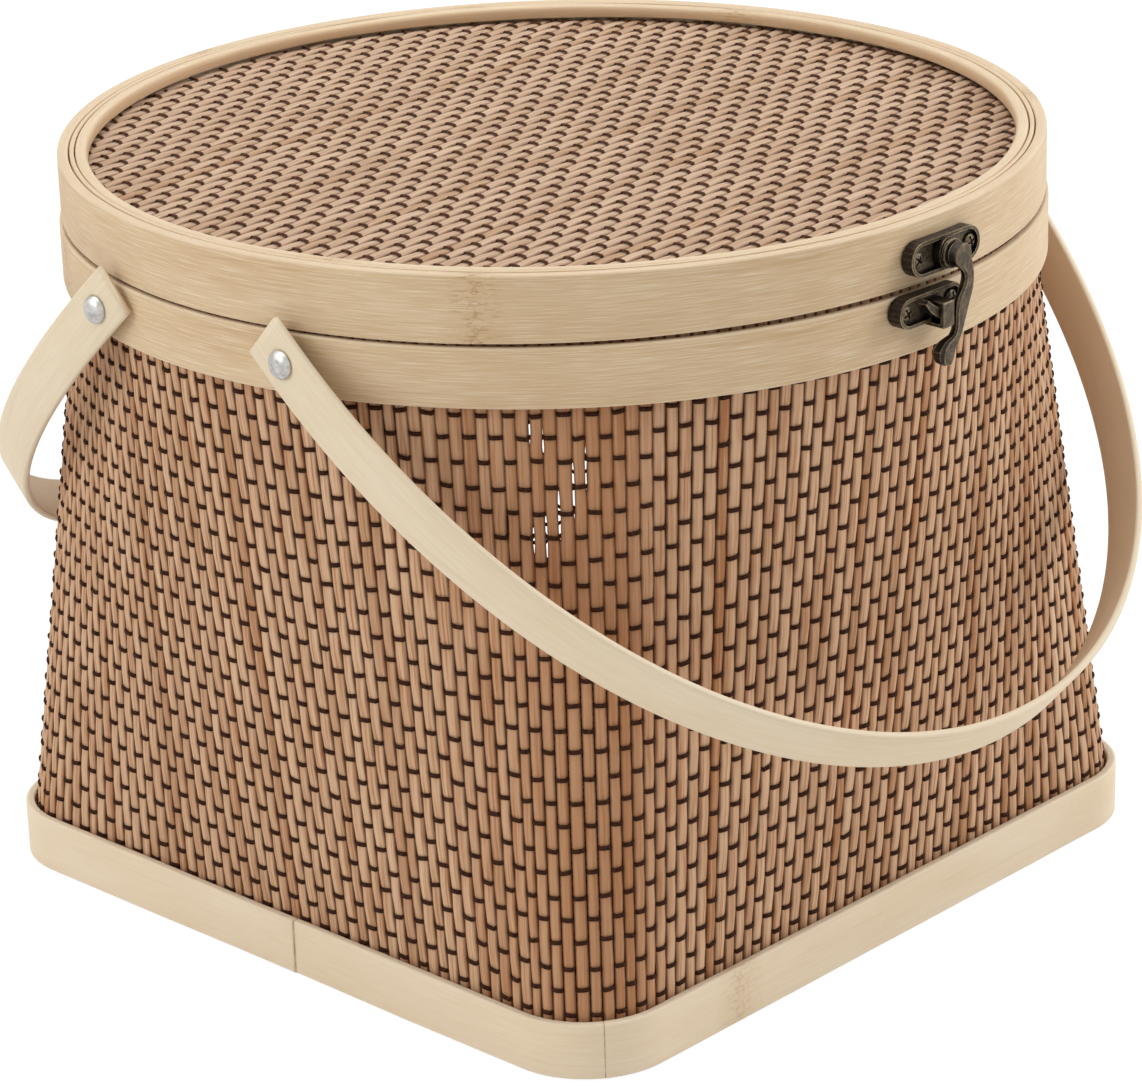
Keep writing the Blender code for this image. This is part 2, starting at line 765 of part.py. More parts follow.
def dished_plate(name, length, tall, across, height, seat, face, floor):
    """A stadium plate, its back hollowed to the hoop and its face dished inside a rim."""
    deep = math.sqrt(seat ** 2 - (abs(across) + length / 2) ** 2) - CUT_OVERRUN
    plate = slab(name, stadium(length, tall), deep, face, face_front, across, height)
    hoop = drum(name + "_seat", seat, height - tall, height + tall, 2 * HOOP_STEPS)
    dish = slab(
        name + "_dish",
        stadium(length - 2 * DISH_RIM, tall - 2 * DISH_RIM),
        floor,
        face + CUT_OVERRUN,
        face_front,
        across,
        height,
    )
    cut(plate, hide(hoop), hide(dish))
    return plate


def spine_spots():
    """The spine smoothed through its shares: right, up, half width and thickness at each step."""
    shares = ARM_SPINE_SHARES
    spots = []
    for k in range(len(shares) - 1):
        before = Vector(shares[max(k - 1, 0)])
        start = Vector(shares[k])
        end = Vector(shares[k + 1])
        after = Vector(shares[min(k + 2, len(shares) - 1)])
        for i in range(SPINE_FINENESS):
            t = i / SPINE_FINENESS
            bend = (end - before) * t
            bend += (2 * before - 5 * start + 4 * end - after) * t ** 2
            bend += (3 * start - 3 * end + after - before) * t ** 3
            spots.append(start + bend / 2)
    spots.append(Vector(shares[-1]))
    return spots


def arm_stations():
    """Middle, direction, half width and thickness of each ring of the hook, drawn in at both ends."""
    spots = spine_spots()
    stations = []
    for k, spot in enumerate(spots):
        ahead = spots[min(k + 1, len(spots) - 1)] - spots[max(k - 1, 0)]
        stations.append((spot.xy, ahead.xy.normalized(), spot.z, spot.w))
    for end, side in ((0, -1), (-1, 1)):
        middle, run, half, thick = stations[end]
        ends = []
        for i in range(1, ARM_END_STEPS + 1):
            turn = math.radians(ARM_END_DEG) * i / ARM_END_STEPS
            spot = middle + run * side * half * ARM_END_SHARE * math.sin(turn)
            ends.append((spot, run, half * math.cos(turn), thick * math.cos(turn)))
        stations = ends[::-1] + stations if side < 0 else stations + ends
    return stations


def hook_body(name):
    """The hook's cast body: bevelled rings along its spine, flush with each other in front."""
    shape = bmesh.new()
    rings = []
    for middle, run, half, thick in arm_stations():
        side = Vector((-run.y, run.x))
        deep = ARM_THICKNESS / 2 * thick
        ring = []
        for across, out in ARM_SECTION_SHARES:
            spot = (middle + side * half * across) * ARM_REACH
            ring.append(shape.verts.new((spot.x, spot.y, ARM_THICKNESS / 2 + deep * (out - 1))))
        rings.append(ring)
    for ring, following in zip(rings, rings[1:]):
        for i, corner in enumerate(ring):
            j = (i + 1) % len(ring)
            shape.faces.new((corner, ring[j], following[j], following[i]))
    shape.faces.new(rings[0][::-1])
    shape.faces.new(rings[-1])
    bmesh.ops.recalc_face_normals(shape, faces=shape.faces)
    mesh = bpy.data.meshes.new(name)
    shape.to_mesh(mesh)
    shape.free()
    return bpy.data.objects.new(name, mesh)


def prong_outline():
    """The hook's prong: an arc about the pivot that narrows towards its tip."""
    outer = []
    inner = []
    for i in range(ARC_STEPS + 1):
        share = i / ARC_STEPS
        turn = math.radians(PRONG_START_DEG - PRONG_SWEEP_DEG * share) - math.pi / 2
        half = PRONG_WIDTH / 2 * (1 - (1 - PRONG_TIP_SHARE) * share ** 3)
        ray = Vector((math.cos(turn), math.sin(turn)))
        outer.append(ray * (PRONG_RADIUS + half))
        inner.append(ray * (PRONG_RADIUS - half))
    return outer + inner[::-1]


def clasp():
    """The plate on the lid and the swing hook with its own shaft, peened behind the plate."""
    plate = dished_plate(
        "clasp_plate",
        PLATE_LENGTH,
        PLATE_HEIGHT,
        0.0,
        CLASP_HEIGHT,
        CLASP_SEAT,
        CLASP_FACE,
        CLASP_FLOOR,
    )
    boss = drum("clasp_boss", BOSS_RADIUS, CLASP_FLOOR - DISH_DEPTH / 2, BOSS_FACE, 2 * HOLE_STEPS)
    bore = drum(
        "clasp_bore", ARM_SHAFT_RADIUS + RUN_GAP, CLASP_SEAT - CUT_OVERRUN, BOSS_FACE + CUT_OVERRUN
    )
    peen_room = CLASP_SEAT + 2 * RUN_GAP + PEEN_THICKNESS
    pocket = drum(
        "clasp_pocket", PEEN_RADIUS + RUN_GAP, CLASP_SEAT - CUT_OVERRUN, peen_room, HOLE_STEPS
    )
    for piece in (boss, bore, pocket):
        face_front(piece, 0.0, CLASP_HEIGHT)
        hide(piece)
    join(plate, boss)
    cut(plate, bore, pocket)
    arm = face_front(hook_body("clasp_arm"), 0.0, CLASP_HEIGHT, (ARM_BACK + ARM_FACE) / 2)
    prong = slab(
        "clasp_prong", prong_outline(), PRONG_BACK, PRONG_FACE, face_front, 0.0, CLASP_HEIGHT
    )
    peen_back = CLASP_SEAT + RUN_GAP
    shaft = turned(
        "clasp_shaft",
        [
            (0.0, ARM_HEAD_FACE),
            (ARM_HEAD_RADIUS - ARM_HEAD_EASE, ARM_HEAD_FACE),
            (ARM_HEAD_RADIUS, ARM_HEAD_FACE - ARM_HEAD_EASE),
            (ARM_HEAD_RADIUS, ARM_BACK),
            (ARM_NECK_RADIUS, ARM_BACK),
            (ARM_NECK_RADIUS, ARM_NECK_BACK),
            (ARM_FLANGE_RADIUS, ARM_NECK_BACK),
            (ARM_FLANGE_RADIUS, ARM_FLANGE_BACK),
            (ARM_SHAFT_RADIUS, ARM_FLANGE_BACK),
            (ARM_SHAFT_RADIUS, peen_back + PEEN_THICKNESS),
            (PEEN_RADIUS, peen_back + PEEN_THICKNESS),
            (PEEN_RADIUS, peen_back),
            (0.0, peen_back),
        ],
        HOLE_STEPS,
        closed=False,
    )
    face_front(shaft, 0.0, CLASP_HEIGHT)
    join(arm, hide(prong), hide(shaft))
    screws = []
    for tag, side in (("left", -1), ("right", 1)):
        across = side * SCREW_SPREAD
        tip = screw_tip(LID_RADIUS, across)
        hole = screw_drill("clasp_drill_" + tag, face_front, across, CLASP_HEIGHT, tip, CLASP_FLOOR)
        seat = CLASP_FLOOR + FIT_GAP
        name = "clasp_screw_" + tag
        screws.append(screw(name, face_front, across, CLASP_HEIGHT, seat, tip))
        cut(plate, hole)
        cut(bpy.data.objects["lid_hoop_outer"], hole)
    dress(plate, BRONZE)
    dress(arm, BRONZE)
    return [plate] + screws, arm


def catch():
    """The plate on the rim, with the keeper bridge that the hook's prong slides through."""
    plate = dished_plate(
        "catch_plate",
        CATCH_LENGTH,
        CATCH_TALL,
        -CATCH_OFFSET,
        CATCH_HEIGHT,
        CATCH_SEAT,
        CATCH_FACE,
        CATCH_FLOOR,
    )
    near = KEEPER_SHIFT - KEEPER_LENGTH / 2
    far = KEEPER_SHIFT + KEEPER_LENGTH / 2
    lowest = math.sqrt((PRONG_RADIUS + PRONG_WIDTH / 2) ** 2 - near ** 2)
    highest = math.sqrt((PRONG_RADIUS - PRONG_WIDTH / 2) ** 2 - far ** 2)
    slot_low = CLASP_HEIGHT - lowest - RUN_GAP
    slot_high = CLASP_HEIGHT - highest + RUN_GAP
    keeper = block(
        "keeper_bridge",
        (-far, -KEEPER_FACE, slot_low - KEEPER_WALL),
        (-near, -CATCH_FLOOR + DISH_DEPTH / 2, slot_high + KEEPER_WALL),
    )
    ease_edges(keeper, KEEPER_EASE, 2)
    slot = block(
        "keeper_slot",
        (-far - CUT_OVERRUN, -KEEPER_INSIDE, slot_low),
        (CUT_OVERRUN - near, -(PRONG_BACK - RUN_GAP), slot_high),
    )
    join(plate, hide(keeper))
    cut(plate, hide(slot))
    screws = []
    for tag, side in (("left", -1), ("right", 1)):
        across = side * CATCH_SCREW_SPREAD - CATCH_OFFSET
        tip = screw_tip(RIM_RADIUS, across)
        hole = screw_drill("catch_drill_" + tag, face_front, across, CATCH_HEIGHT, tip, CATCH_FLOOR)
        seat = CATCH_FLOOR + FIT_GAP
        name = "catch_screw_" + tag
        screws.append(screw(name, face_front, across, CATCH_HEIGHT, seat, tip))
        cut(plate, hole)
        cut(bpy.data.objects["rim_band_outer"], hole)
    dress(plate, BRONZE)
    return [plate] + screws


def leaf(name, low, high, seat, hoop_name):
    """One hinge leaf with its two screws, its back hollowed to the hoop that carries it."""
    deep = math.sqrt(seat ** 2 - (LEAF_WIDTH / 2) ** 2) - CUT_OVERRUN
    outline = rounded_rectangle(
        LEAF_WIDTH / 2, low - SEAM, high - SEAM, LEAF_CORNER_RADIUS
    )
    plate = slab(name, outline, deep, LEAF_FACE, face_back, 0.0, SEAM)
    hoop = drum(
        name + "_seat", seat, low - CUT_OVERRUN, high + CUT_OVERRUN, 2 * HOOP_STEPS
    )
    cut(plate, hide(hoop))
    screws = []
    height = (low + high) / 2
    for tag, side in (("left", -1), ("right", 1)):
        across = side * SCREW_SPREAD
        tip = screw_tip(seat - FIT_GAP, across)
        hole = screw_drill(name + "_drill_" + tag, face_back, across, height, tip, LEAF_FACE)
        screws.append(
            screw(name + "_screw_" + tag, face_back, across, height, LEAF_FACE + FIT_GAP, tip)
        )
        cut(plate, hole)
        cut(bpy.data.objects[hoop_name], hole)
    return plate, screws


def hinge():
    """A small butt hinge: one knuckle on the lid's leaf between two on the body's."""
    lid_leaf, lid_screws = leaf(
        "hinge_leaf_lid", LID_BOTTOM, LID_TOP - LEAF_MARGIN, LID_LEAF_SEAT, "lid_hoop_outer"
    )
    body_leaf, body_screws = leaf(
        "hinge_leaf_body", RIM_BOTTOM + LEAF_MARGIN, RIM_TOP, BODY_LEAF_SEAT, "rim_band_outer"
    )
    middle = MIDDLE_KNUCKLE_LENGTH / 2
    end = LEAF_WIDTH / 2
    clear = KNUCKLE_RADIUS + RUN_GAP
    rooms = (
        (lid_leaf, "left", -end - CUT_OVERRUN, -middle),
        (lid_leaf, "right", middle, end + CUT_OVERRUN),
        (body_leaf, "middle", -middle - RUN_GAP, middle + RUN_GAP),
    )
    for plate, tag, start, stop in rooms:
        room = bar_along_x("hinge_room_" + tag, clear, start, stop, HINGE_DEPTH, SEAM)
        cut(plate, hide(room))
    spans = (("left", -end, -middle - RUN_GAP), ("right", middle + RUN_GAP, end))
    for tag, start, stop in spans:
        knuckle = bar_along_x(
            "hinge_knuckle_" + tag, KNUCKLE_RADIUS, start, stop, HINGE_DEPTH, SEAM
        )
        join(body_leaf, hide(knuckle))
    knuckle = bar_along_x(
        "hinge_knuckle_middle", KNUCKLE_RADIUS, -middle, middle, HINGE_DEPTH, SEAM
    )
    join(lid_leaf, hide(knuckle))
    bore = bar_along_x(
        "hinge_bore",
        HINGE_PIN_RADIUS + RUN_GAP,
        -end - CUT_OVERRUN,
        end + CUT_OVERRUN,
        HINGE_DEPTH,
        SEAM,
    )
    hide(bore)
    cut(lid_leaf, bore)
    cut(body_leaf, bore)
    reach = end + RUN_GAP
    head = HINGE_PIN_RADIUS + 2 * RUN_GAP
    pin = turned(
        "hinge_pin",
        [
            (0.0, reach + HINGE_PIN_HEAD),
            (head, reach + HINGE_PIN_HEAD),
            (head, reach),
            (HINGE_PIN_RADIUS, reach),
            (HINGE_PIN_RADIUS, -reach),
            (head, -reach),
            (head, -reach - HINGE_PIN_HEAD),
            (0.0, -reach - HINGE_PIN_HEAD),
        ],
        STUD_STEPS,
        closed=False,
    )
    pin.rotation_euler = (0.0, math.pi / 2, 0.0)
    pin.location = (0.0, HINGE_DEPTH, SEAM)
    for piece in (lid_leaf, body_leaf, pin):
        dress(piece, BRONZE)
    return [lid_leaf] + lid_screws, [body_leaf, pin] + body_screws


def drill_for_rivets(pieces, handles):
    """Bore the hoops, the mat and the straps for the handle rivets."""
    reach = HANDLE_SPREAD + STRAP_THICKNESS + CUT_OVERRUN
    for tag, side, strap in (("front", -1, handles[0]), ("back", 1, handles[1])):
        drill = bar_along_x(
            "rivet_drill_" + tag,
            RIVET_RADIUS + RUN_GAP,
            -reach,
            reach,
            side * PIVOT_OFFSET,
            PIVOT_HEIGHT,
        )
        hide(drill)
        for piece in pieces:
            cut(piece, drill)
        cut(strap, drill)


# Fixed body
basket = joint_empty("basket", (0.0, 0.0, 0.0))
foot = base_bands()
rim = rim_bands()
wall = dress(woven_wall("body_weave"), WOVEN)

# Lid, clasp and hinge
lid_axis = joint_empty("lid_axis", (0.0, HINGE_DEPTH, SEAM))
lid_pieces = lid_hoops()
clasp_fixed, clasp_arm = clasp()
catch_pieces = catch()
hinge_on_lid, hinge_on_body = hinge()
clasp_axis = joint_empty("clasp_axis", (0.0, -ARM_BACK, CLASP_HEIGHT))

# Handles hang from the rim with their straps clear of the walls
front_tilt = math.pi + hang_angle(FRONT_HANG_GAP)
back_tilt = -hang_angle(BACK_HANG_GAP)
handle_front = handle("handle_front", -PIVOT_OFFSET, front_tilt)
handle_back = handle("handle_back", PIVOT_OFFSET, back_tilt)
drill_for_rivets(rim + [wall], (handle_front, handle_back))
rivets = []
for row, along in (("front", -PIVOT_OFFSET), ("back", PIVOT_OFFSET)):
    for column, side in (("left", -1), ("right", 1)):
        rivets += handle_rivet(row + "_" + column, side, along)

bpy.context.view_layer.update()
carry(basket, *foot, *rim, wall, *catch_pieces, *hinge_on_body, *rivets, handle_front, handle_back)
carry(lid_axis, *lid_pieces, *clasp_fixed, *hinge_on_lid)
carry(clasp_axis, clasp_arm)
carry(lid_axis, clasp_axis)
carry(basket, lid_axis)
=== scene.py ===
"""Looks of the woven bamboo food basket: the mat, the hoops, the straps, the clasp and the studio."""
import json
import math

import bpy
import numpy as np
from mathutils import Matrix, Vector

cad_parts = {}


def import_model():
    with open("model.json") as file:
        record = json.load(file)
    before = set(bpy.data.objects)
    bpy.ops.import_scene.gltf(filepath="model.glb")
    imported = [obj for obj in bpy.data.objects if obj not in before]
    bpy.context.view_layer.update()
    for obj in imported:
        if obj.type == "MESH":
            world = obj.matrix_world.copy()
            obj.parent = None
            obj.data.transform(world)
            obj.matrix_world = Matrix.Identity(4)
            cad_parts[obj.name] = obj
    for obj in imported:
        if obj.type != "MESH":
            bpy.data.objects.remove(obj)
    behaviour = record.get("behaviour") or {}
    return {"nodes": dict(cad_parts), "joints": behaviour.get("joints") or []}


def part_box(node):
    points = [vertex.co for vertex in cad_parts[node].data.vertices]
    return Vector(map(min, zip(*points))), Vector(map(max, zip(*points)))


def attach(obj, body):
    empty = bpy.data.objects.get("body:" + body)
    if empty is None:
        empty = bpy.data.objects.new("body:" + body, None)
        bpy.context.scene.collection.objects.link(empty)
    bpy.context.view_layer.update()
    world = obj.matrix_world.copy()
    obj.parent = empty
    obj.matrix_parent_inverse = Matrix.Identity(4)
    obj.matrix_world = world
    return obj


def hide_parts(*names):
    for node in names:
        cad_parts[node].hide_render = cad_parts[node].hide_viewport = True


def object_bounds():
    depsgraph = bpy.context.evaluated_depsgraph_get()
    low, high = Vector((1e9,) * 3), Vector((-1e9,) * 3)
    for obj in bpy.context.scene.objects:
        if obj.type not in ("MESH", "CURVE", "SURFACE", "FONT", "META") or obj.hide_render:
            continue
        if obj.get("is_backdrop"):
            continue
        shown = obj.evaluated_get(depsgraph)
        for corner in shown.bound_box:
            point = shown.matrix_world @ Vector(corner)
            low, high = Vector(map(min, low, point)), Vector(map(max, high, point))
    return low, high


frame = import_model()
cad_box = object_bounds()
rng = np.random.default_rng(471)

# Sizes that the frame gives
RIM_LOW, RIM_HIGH = np.array(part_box("rim_band_outer"))
RIM_IN_LOW, RIM_IN_HIGH = np.array(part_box("rim_band_inner"))
LID_LOW, LID_HIGH = np.array(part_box("lid_hoop_outer"))
PLY_LOW, PLY_HIGH = np.array(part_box("lid_hoop_middle"))
RING_LOW, RING_HIGH = np.array(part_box("lid_ring_upper"))
UNDER_LOW, UNDER_HIGH = np.array(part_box("lid_ring_lower"))
LID_MAT_LOW, LID_MAT_HIGH = np.array(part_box("lid_mat"))
BASE_LOW, BASE_HIGH = np.array(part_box("base_band_outer"))
FOOT_LOW, FOOT_HIGH = np.array(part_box("base_band_inner"))
PANEL_LOW, PANEL_HIGH = np.array(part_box("base_panel"))
WALL_LOW, WALL_HIGH = np.array(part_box("body_weave"))

# Sizes shared with the CAD model
GAP = 0.0003
BASE_HALF = float(BASE_HIGH[0])
BASE_CORNER_RADIUS = 0.0220
BASE_THICKNESS = 0.0022
FOOT_THICKNESS = 0.0030
MAT_THICKNESS = 0.0022
RIM_THICKNESS = 0.0022
RIM_INNER_THICKNESS = 0.0025
LID_OUTER_PLY = 0.0026
LID_MIDDLE_PLY = 0.0010
LID_INNER_PLY = 0.0029
HANDLE_SPREAD = 0.11557
HANDLE_DROP = 0.14127
HANDLE_PINCH = 0.0010
HANDLE_TAIL = 0.0080
STRAP_WIDTH = 0.0128
STRAP_THICKNESS = 0.0018
STRAP_KNOT = 0.05
STRAP_STEPS = 160
STRAP_TAIL_STEPS = 4
STRAP_EASE = 0.0006
METAL_EASE = 0.00022
METAL_EASE_DEG = 35
RUBBED_RADIUS = 0.00036
HOLLOW_REACH = 0.0030
RIVET_RADIUS = 0.0015
RIVET_HEAD_RADIUS = 0.0033
RIVET_HEAD_HEIGHT = 0.0017
RIVET_TAIL_RADIUS = 0.0024
RIVET_TAIL_HEIGHT = 0.0010
TURNED_SIDES = 48
TURNED_CREASE_DEG = 38
DOME_TIP = 0.00004
SCREW_RADIUS = 0.0009
SCREW_HEAD_RADIUS = 0.0018
SCREW_HEAD_HEIGHT = 0.0007
SCREW_SLOT_WIDTH = 0.00052
SCREW_SLOT_LENGTH = 0.0026
SCREW_SLOT_DEPTH = 0.0005
HOOK_FLANGE_RADIUS = 0.0033
HOOK_FLANGE_THICKNESS = 0.0008
HOOK_NECK_RADIUS = 0.0023
HOOK_NECK_LENGTH = 0.0006
HOOK_HEAD_RADIUS = 0.0028
HOOK_HEAD_LENGTH = 0.0022
HOOK_EASE = 0.0004
HOOK_COVER = 0.00002
HOOK_FACE_SHARE = 0.7

# The woven mat
WALL_STICKS = 240
WALL_ROW_PITCH = 0.00533
LID_STICK_PITCH = 0.00332
LID_THREAD_PITCH = 0.00532
LID_STICK_TURN_DEG = 3.7
STICK_DEPTH = 0.00075
STICK_FILL = 0.97
STICK_WAVE = 0.00014
STICK_TOP_STEP = 0.0006
STICK_RUN_STEP = 0.01
STICK_FOOT_RING = 0.005
STICK_TOP_RING = 0.002
EDGE_JITTER = 0.08
WAVE_FADE = 0.004
THREAD_DEPTH = 0.00026
THREAD_HEIGHT = 0.00056
LID_THREAD_HEIGHT = 0.00048
THREAD_JITTER = 0.00012
THREAD_LEAN = 0.00022
THREAD_CLEAR = 0.9
THREAD_END_GAP = 0.001
LID_THREAD_DRIFT = 0.00025
LID_THREAD_HALF = 0.12
LID_THREAD_STEPS = 40
SHORTEST_THREAD = 6
EDGE_SEARCH_STEPS = 1200
# A thread's way over one stick: (share of the stick's width, share of its rise)
THREAD_STOPS = ((0.0, 0.0), (0.16, 0.90), (0.5, 1.0), (0.84, 0.90))

# The bent hoops
HOOP_START = 0.5
HOOP_STEPS = 288
FOOT_STEPS = 400
HOOP_EASE = 0.0006
PLY_EASE = 0.0002
RING_EASE = 0.0005
RING_INNER_EASE = 0.0013
HOOP_WOBBLE = 0.00010
HOOP_WOBBLE_REACH = 30
FACE_WOBBLE = 0.00005
CUT_DEPTH = 0.0004
INNER_SIDE = 0.72
SEAM_STEP = 0.00030
SEAM_SHARE = 0.759
SEAM_FADE = 0.035
SEAM_EDGE = 0.0002
SPLIT_SHARE = 0.8788
LID_SEAM = float(LID_LOW[2] - RIM_HIGH[2])
LID_TIGHT = 0.5
LID_TIGHT_SHARE = 0.797
LID_TIGHT_SPREAD = 0.100

WALL_TOP = float(WALL_HIGH[2])
RIM_RADIUS = float(RIM_HIGH[0])
RIM_BOTTOM = float(RIM_LOW[2])
BASE_BAND_HEIGHT = float(BASE_HIGH[2])
WALL_INSET = BASE_THICKNESS + GAP + MAT_THICKNESS / 2
UP = np.array([0.0, 0.0, 1.0])


def srgb(red, green, blue):
    """A colour as a screen shows it, turned to Blender's linear values."""
    def linear(value):
        share = value / 255
        return share / 12.92 if share <= 0.04045 else ((share + 0.055) / 1.055) ** 2.4
    return (linear(red), linear(green), linear(blue), 1.0)


def smooth_noise(count, reach, seed):
    """Closed loop noise of about unit size that changes over `reach` steps."""
    raw = np.random.default_rng(seed).normal(size=count)
    freq = np.fft.rfftfreq(count)
    soft = np.fft.irfft(np.fft.rfft(raw) * np.exp(-(freq * reach) ** 2), count)
    return soft / max(soft.std(), 1e-9)


def new_mesh(name, points, quads, run=None, **numbers):
    """A mesh object from arrays, with a UV map of lengths along and across, and point numbers."""
    mesh = bpy.data.meshes.new(name)
    points = np.asarray(points, np.float32)
    loops = np.concatenate([face.reshape(-1) for face in quads]).astype(np.int32)
    sizes = np.concatenate([np.full(len(face), face.shape[1], np.int32) for face in quads])
    mesh.vertices.add(points.size // 3)
    mesh.vertices.foreach_set("co", points.reshape(-1))
    mesh.loops.add(len(loops))
    mesh.loops.foreach_set("vertex_index", loops)
    mesh.polygons.add(len(sizes))
    starts = np.concatenate([[0], np.cumsum(sizes)[:-1]]).astype(np.int32)
    mesh.polygons.foreach_set("loop_start", starts)
    mesh.update(calc_edges=True)
    mesh.polygons.foreach_set("use_smooth", np.ones(len(sizes), bool))
    if run is not None:
        layer = mesh.uv_layers.new(name="run")
        run = np.asarray(run, np.float32).reshape(-1, 2)
        layer.data.foreach_set("uv", run[loops].reshape(-1))
    for key, values in numbers.items():
        layer = mesh.attributes.new(key, "FLOAT", "POINT")
        values = np.broadcast_to(values, points.shape[:-1]).astype(np.float32)
        layer.data.foreach_set("value", values.reshape(-1))
    mesh.validate()
    obj = bpy.data.objects.new(name, mesh)
    bpy.context.scene.collection.objects.link(obj)
    return obj


def tube_faces(tubes, rings, sides, closed=False):
    """Faces of tubes whose points are laid out [tube][ring][side]; open ones get end caps."""
    start = (np.arange(tubes) * rings * sides)[:, None, None]
    ring = np.arange(rings if closed else rings - 1)[None, :, None]
    side = np.arange(sides)[None, None, :]
    after = (ring + 1) % rings
    beside = (side + 1) % sides
    quads = np.stack([
        start + ring * sides + side,
        start + ring * sides + beside,
        start + after * sides + beside,
        start + after * sides + side,
    ], -1).reshape(-1, 4)
    faces = [quads]
    if not closed:
        first = start[:, 0] + np.arange(sides)
        last = first + (rings - 1) * sides
        faces += [first[:, ::-1], last]
    return faces


def lengths_map(along, across):
    """The lengths map of tubes, from each ring's length along and each point's across."""
    return np.stack(np.broadcast_arrays(along[..., None], across), -1)


def lengths(points):
    """How far along a line each of its points lies."""
    return np.concatenate([[0], np.cumsum(np.linalg.norm(np.diff(points, axis=0), axis=1))])


def tube_points(centre, wide, width, deep, depth):
    """Points round a centre line: the section's offsets along two directions."""
    spread = wide[..., None, :] * width[..., None]
    return centre[..., None, :] + spread + deep[..., None, :] * depth[..., None]


def rounded_section(corners, steps):
    """A strip's section, from (across, up, radius, first angle) at each corner."""
    points = []
    for across, up, radius, start in corners:
        for i in range(steps + 1):
            angle = math.radians(start + 90 * i / steps)
            points.append((across + radius * math.cos(angle), up + radius * math.sin(angle)))
    return np.array(points)


def foot_point(share, inset):
    """A point of the rounded square foot at a share of its turn, from the middle of the front."""
    flat = BASE_HALF - BASE_CORNER_RADIUS
    arc = BASE_CORNER_RADIUS * math.pi / 2
    quarter = 2 * flat + arc
    turn = np.mod(share, 1.0) * 4
    side = np.floor(turn)
    run = (turn - side) * quarter
    angle = np.clip((run - flat) / arc, 0, 1) * math.pi / 2
    radius = BASE_CORNER_RADIUS - inset
    x = np.where(run < flat, run, flat + radius * np.sin(angle))
    y = np.where(run < flat + arc, -flat - radius * np.cos(angle), run - arc - 2 * flat)
    x = np.where(run > flat + arc, BASE_HALF - inset, x)
    cos, sin = np.cos(side * math.pi / 2), np.sin(side * math.pi / 2)
    return np.stack([cos * x - sin * y, sin * x + cos * y], -1)


def wall_point(share, height):
    """A point of the wall: foot square below, rim circle above, ruled in between."""
    rise = np.clip((height - BASE_BAND_HEIGHT) / (RIM_BOTTOM - BASE_BAND_HEIGHT), 0, 1)
    angle = share * 2 * math.pi - math.pi / 2
    mouth = np.stack([np.cos(angle), np.sin(angle)], -1) * (RIM_RADIUS - WALL_INSET)
    spot = foot_point(share, WALL_INSET) * (1 - rise)[..., None] + mouth * rise[..., None]
    return np.concatenate([spot, np.broadcast_to(height, spot.shape[:-1])[..., None]], -1)


def unit(vectors):
    return vectors / np.maximum(np.linalg.norm(vectors, axis=-1, keepdims=True), 1e-12)


def section(sides, flat=0.75):
    """Points round a flattened stick or thread: across and outwards, each within 1."""
    turn = (np.arange(sides) + 0.5) / sides * 2 * math.pi
    across, out = np.cos(turn), np.sin(turn)
    return np.sign(across) * np.abs(across) ** flat, np.sign(out) * np.abs(out) ** flat


# Materials
def shader_tree(name, roughness, metallic=0.0, **sockets):
    """A new material and its Principled shader, with constant numbers on the shader's sockets."""
    skin = bpy.data.materials.new(name)
    skin.use_nodes = True
    shader = skin.node_tree.nodes["Principled BSDF"]
    shader.inputs["Roughness"].default_value = roughness
    shader.inputs["Metallic"].default_value = metallic
    for key, value in sockets.items():
        shader.inputs[key.replace("_", " ")].default_value = value
    return skin, shader


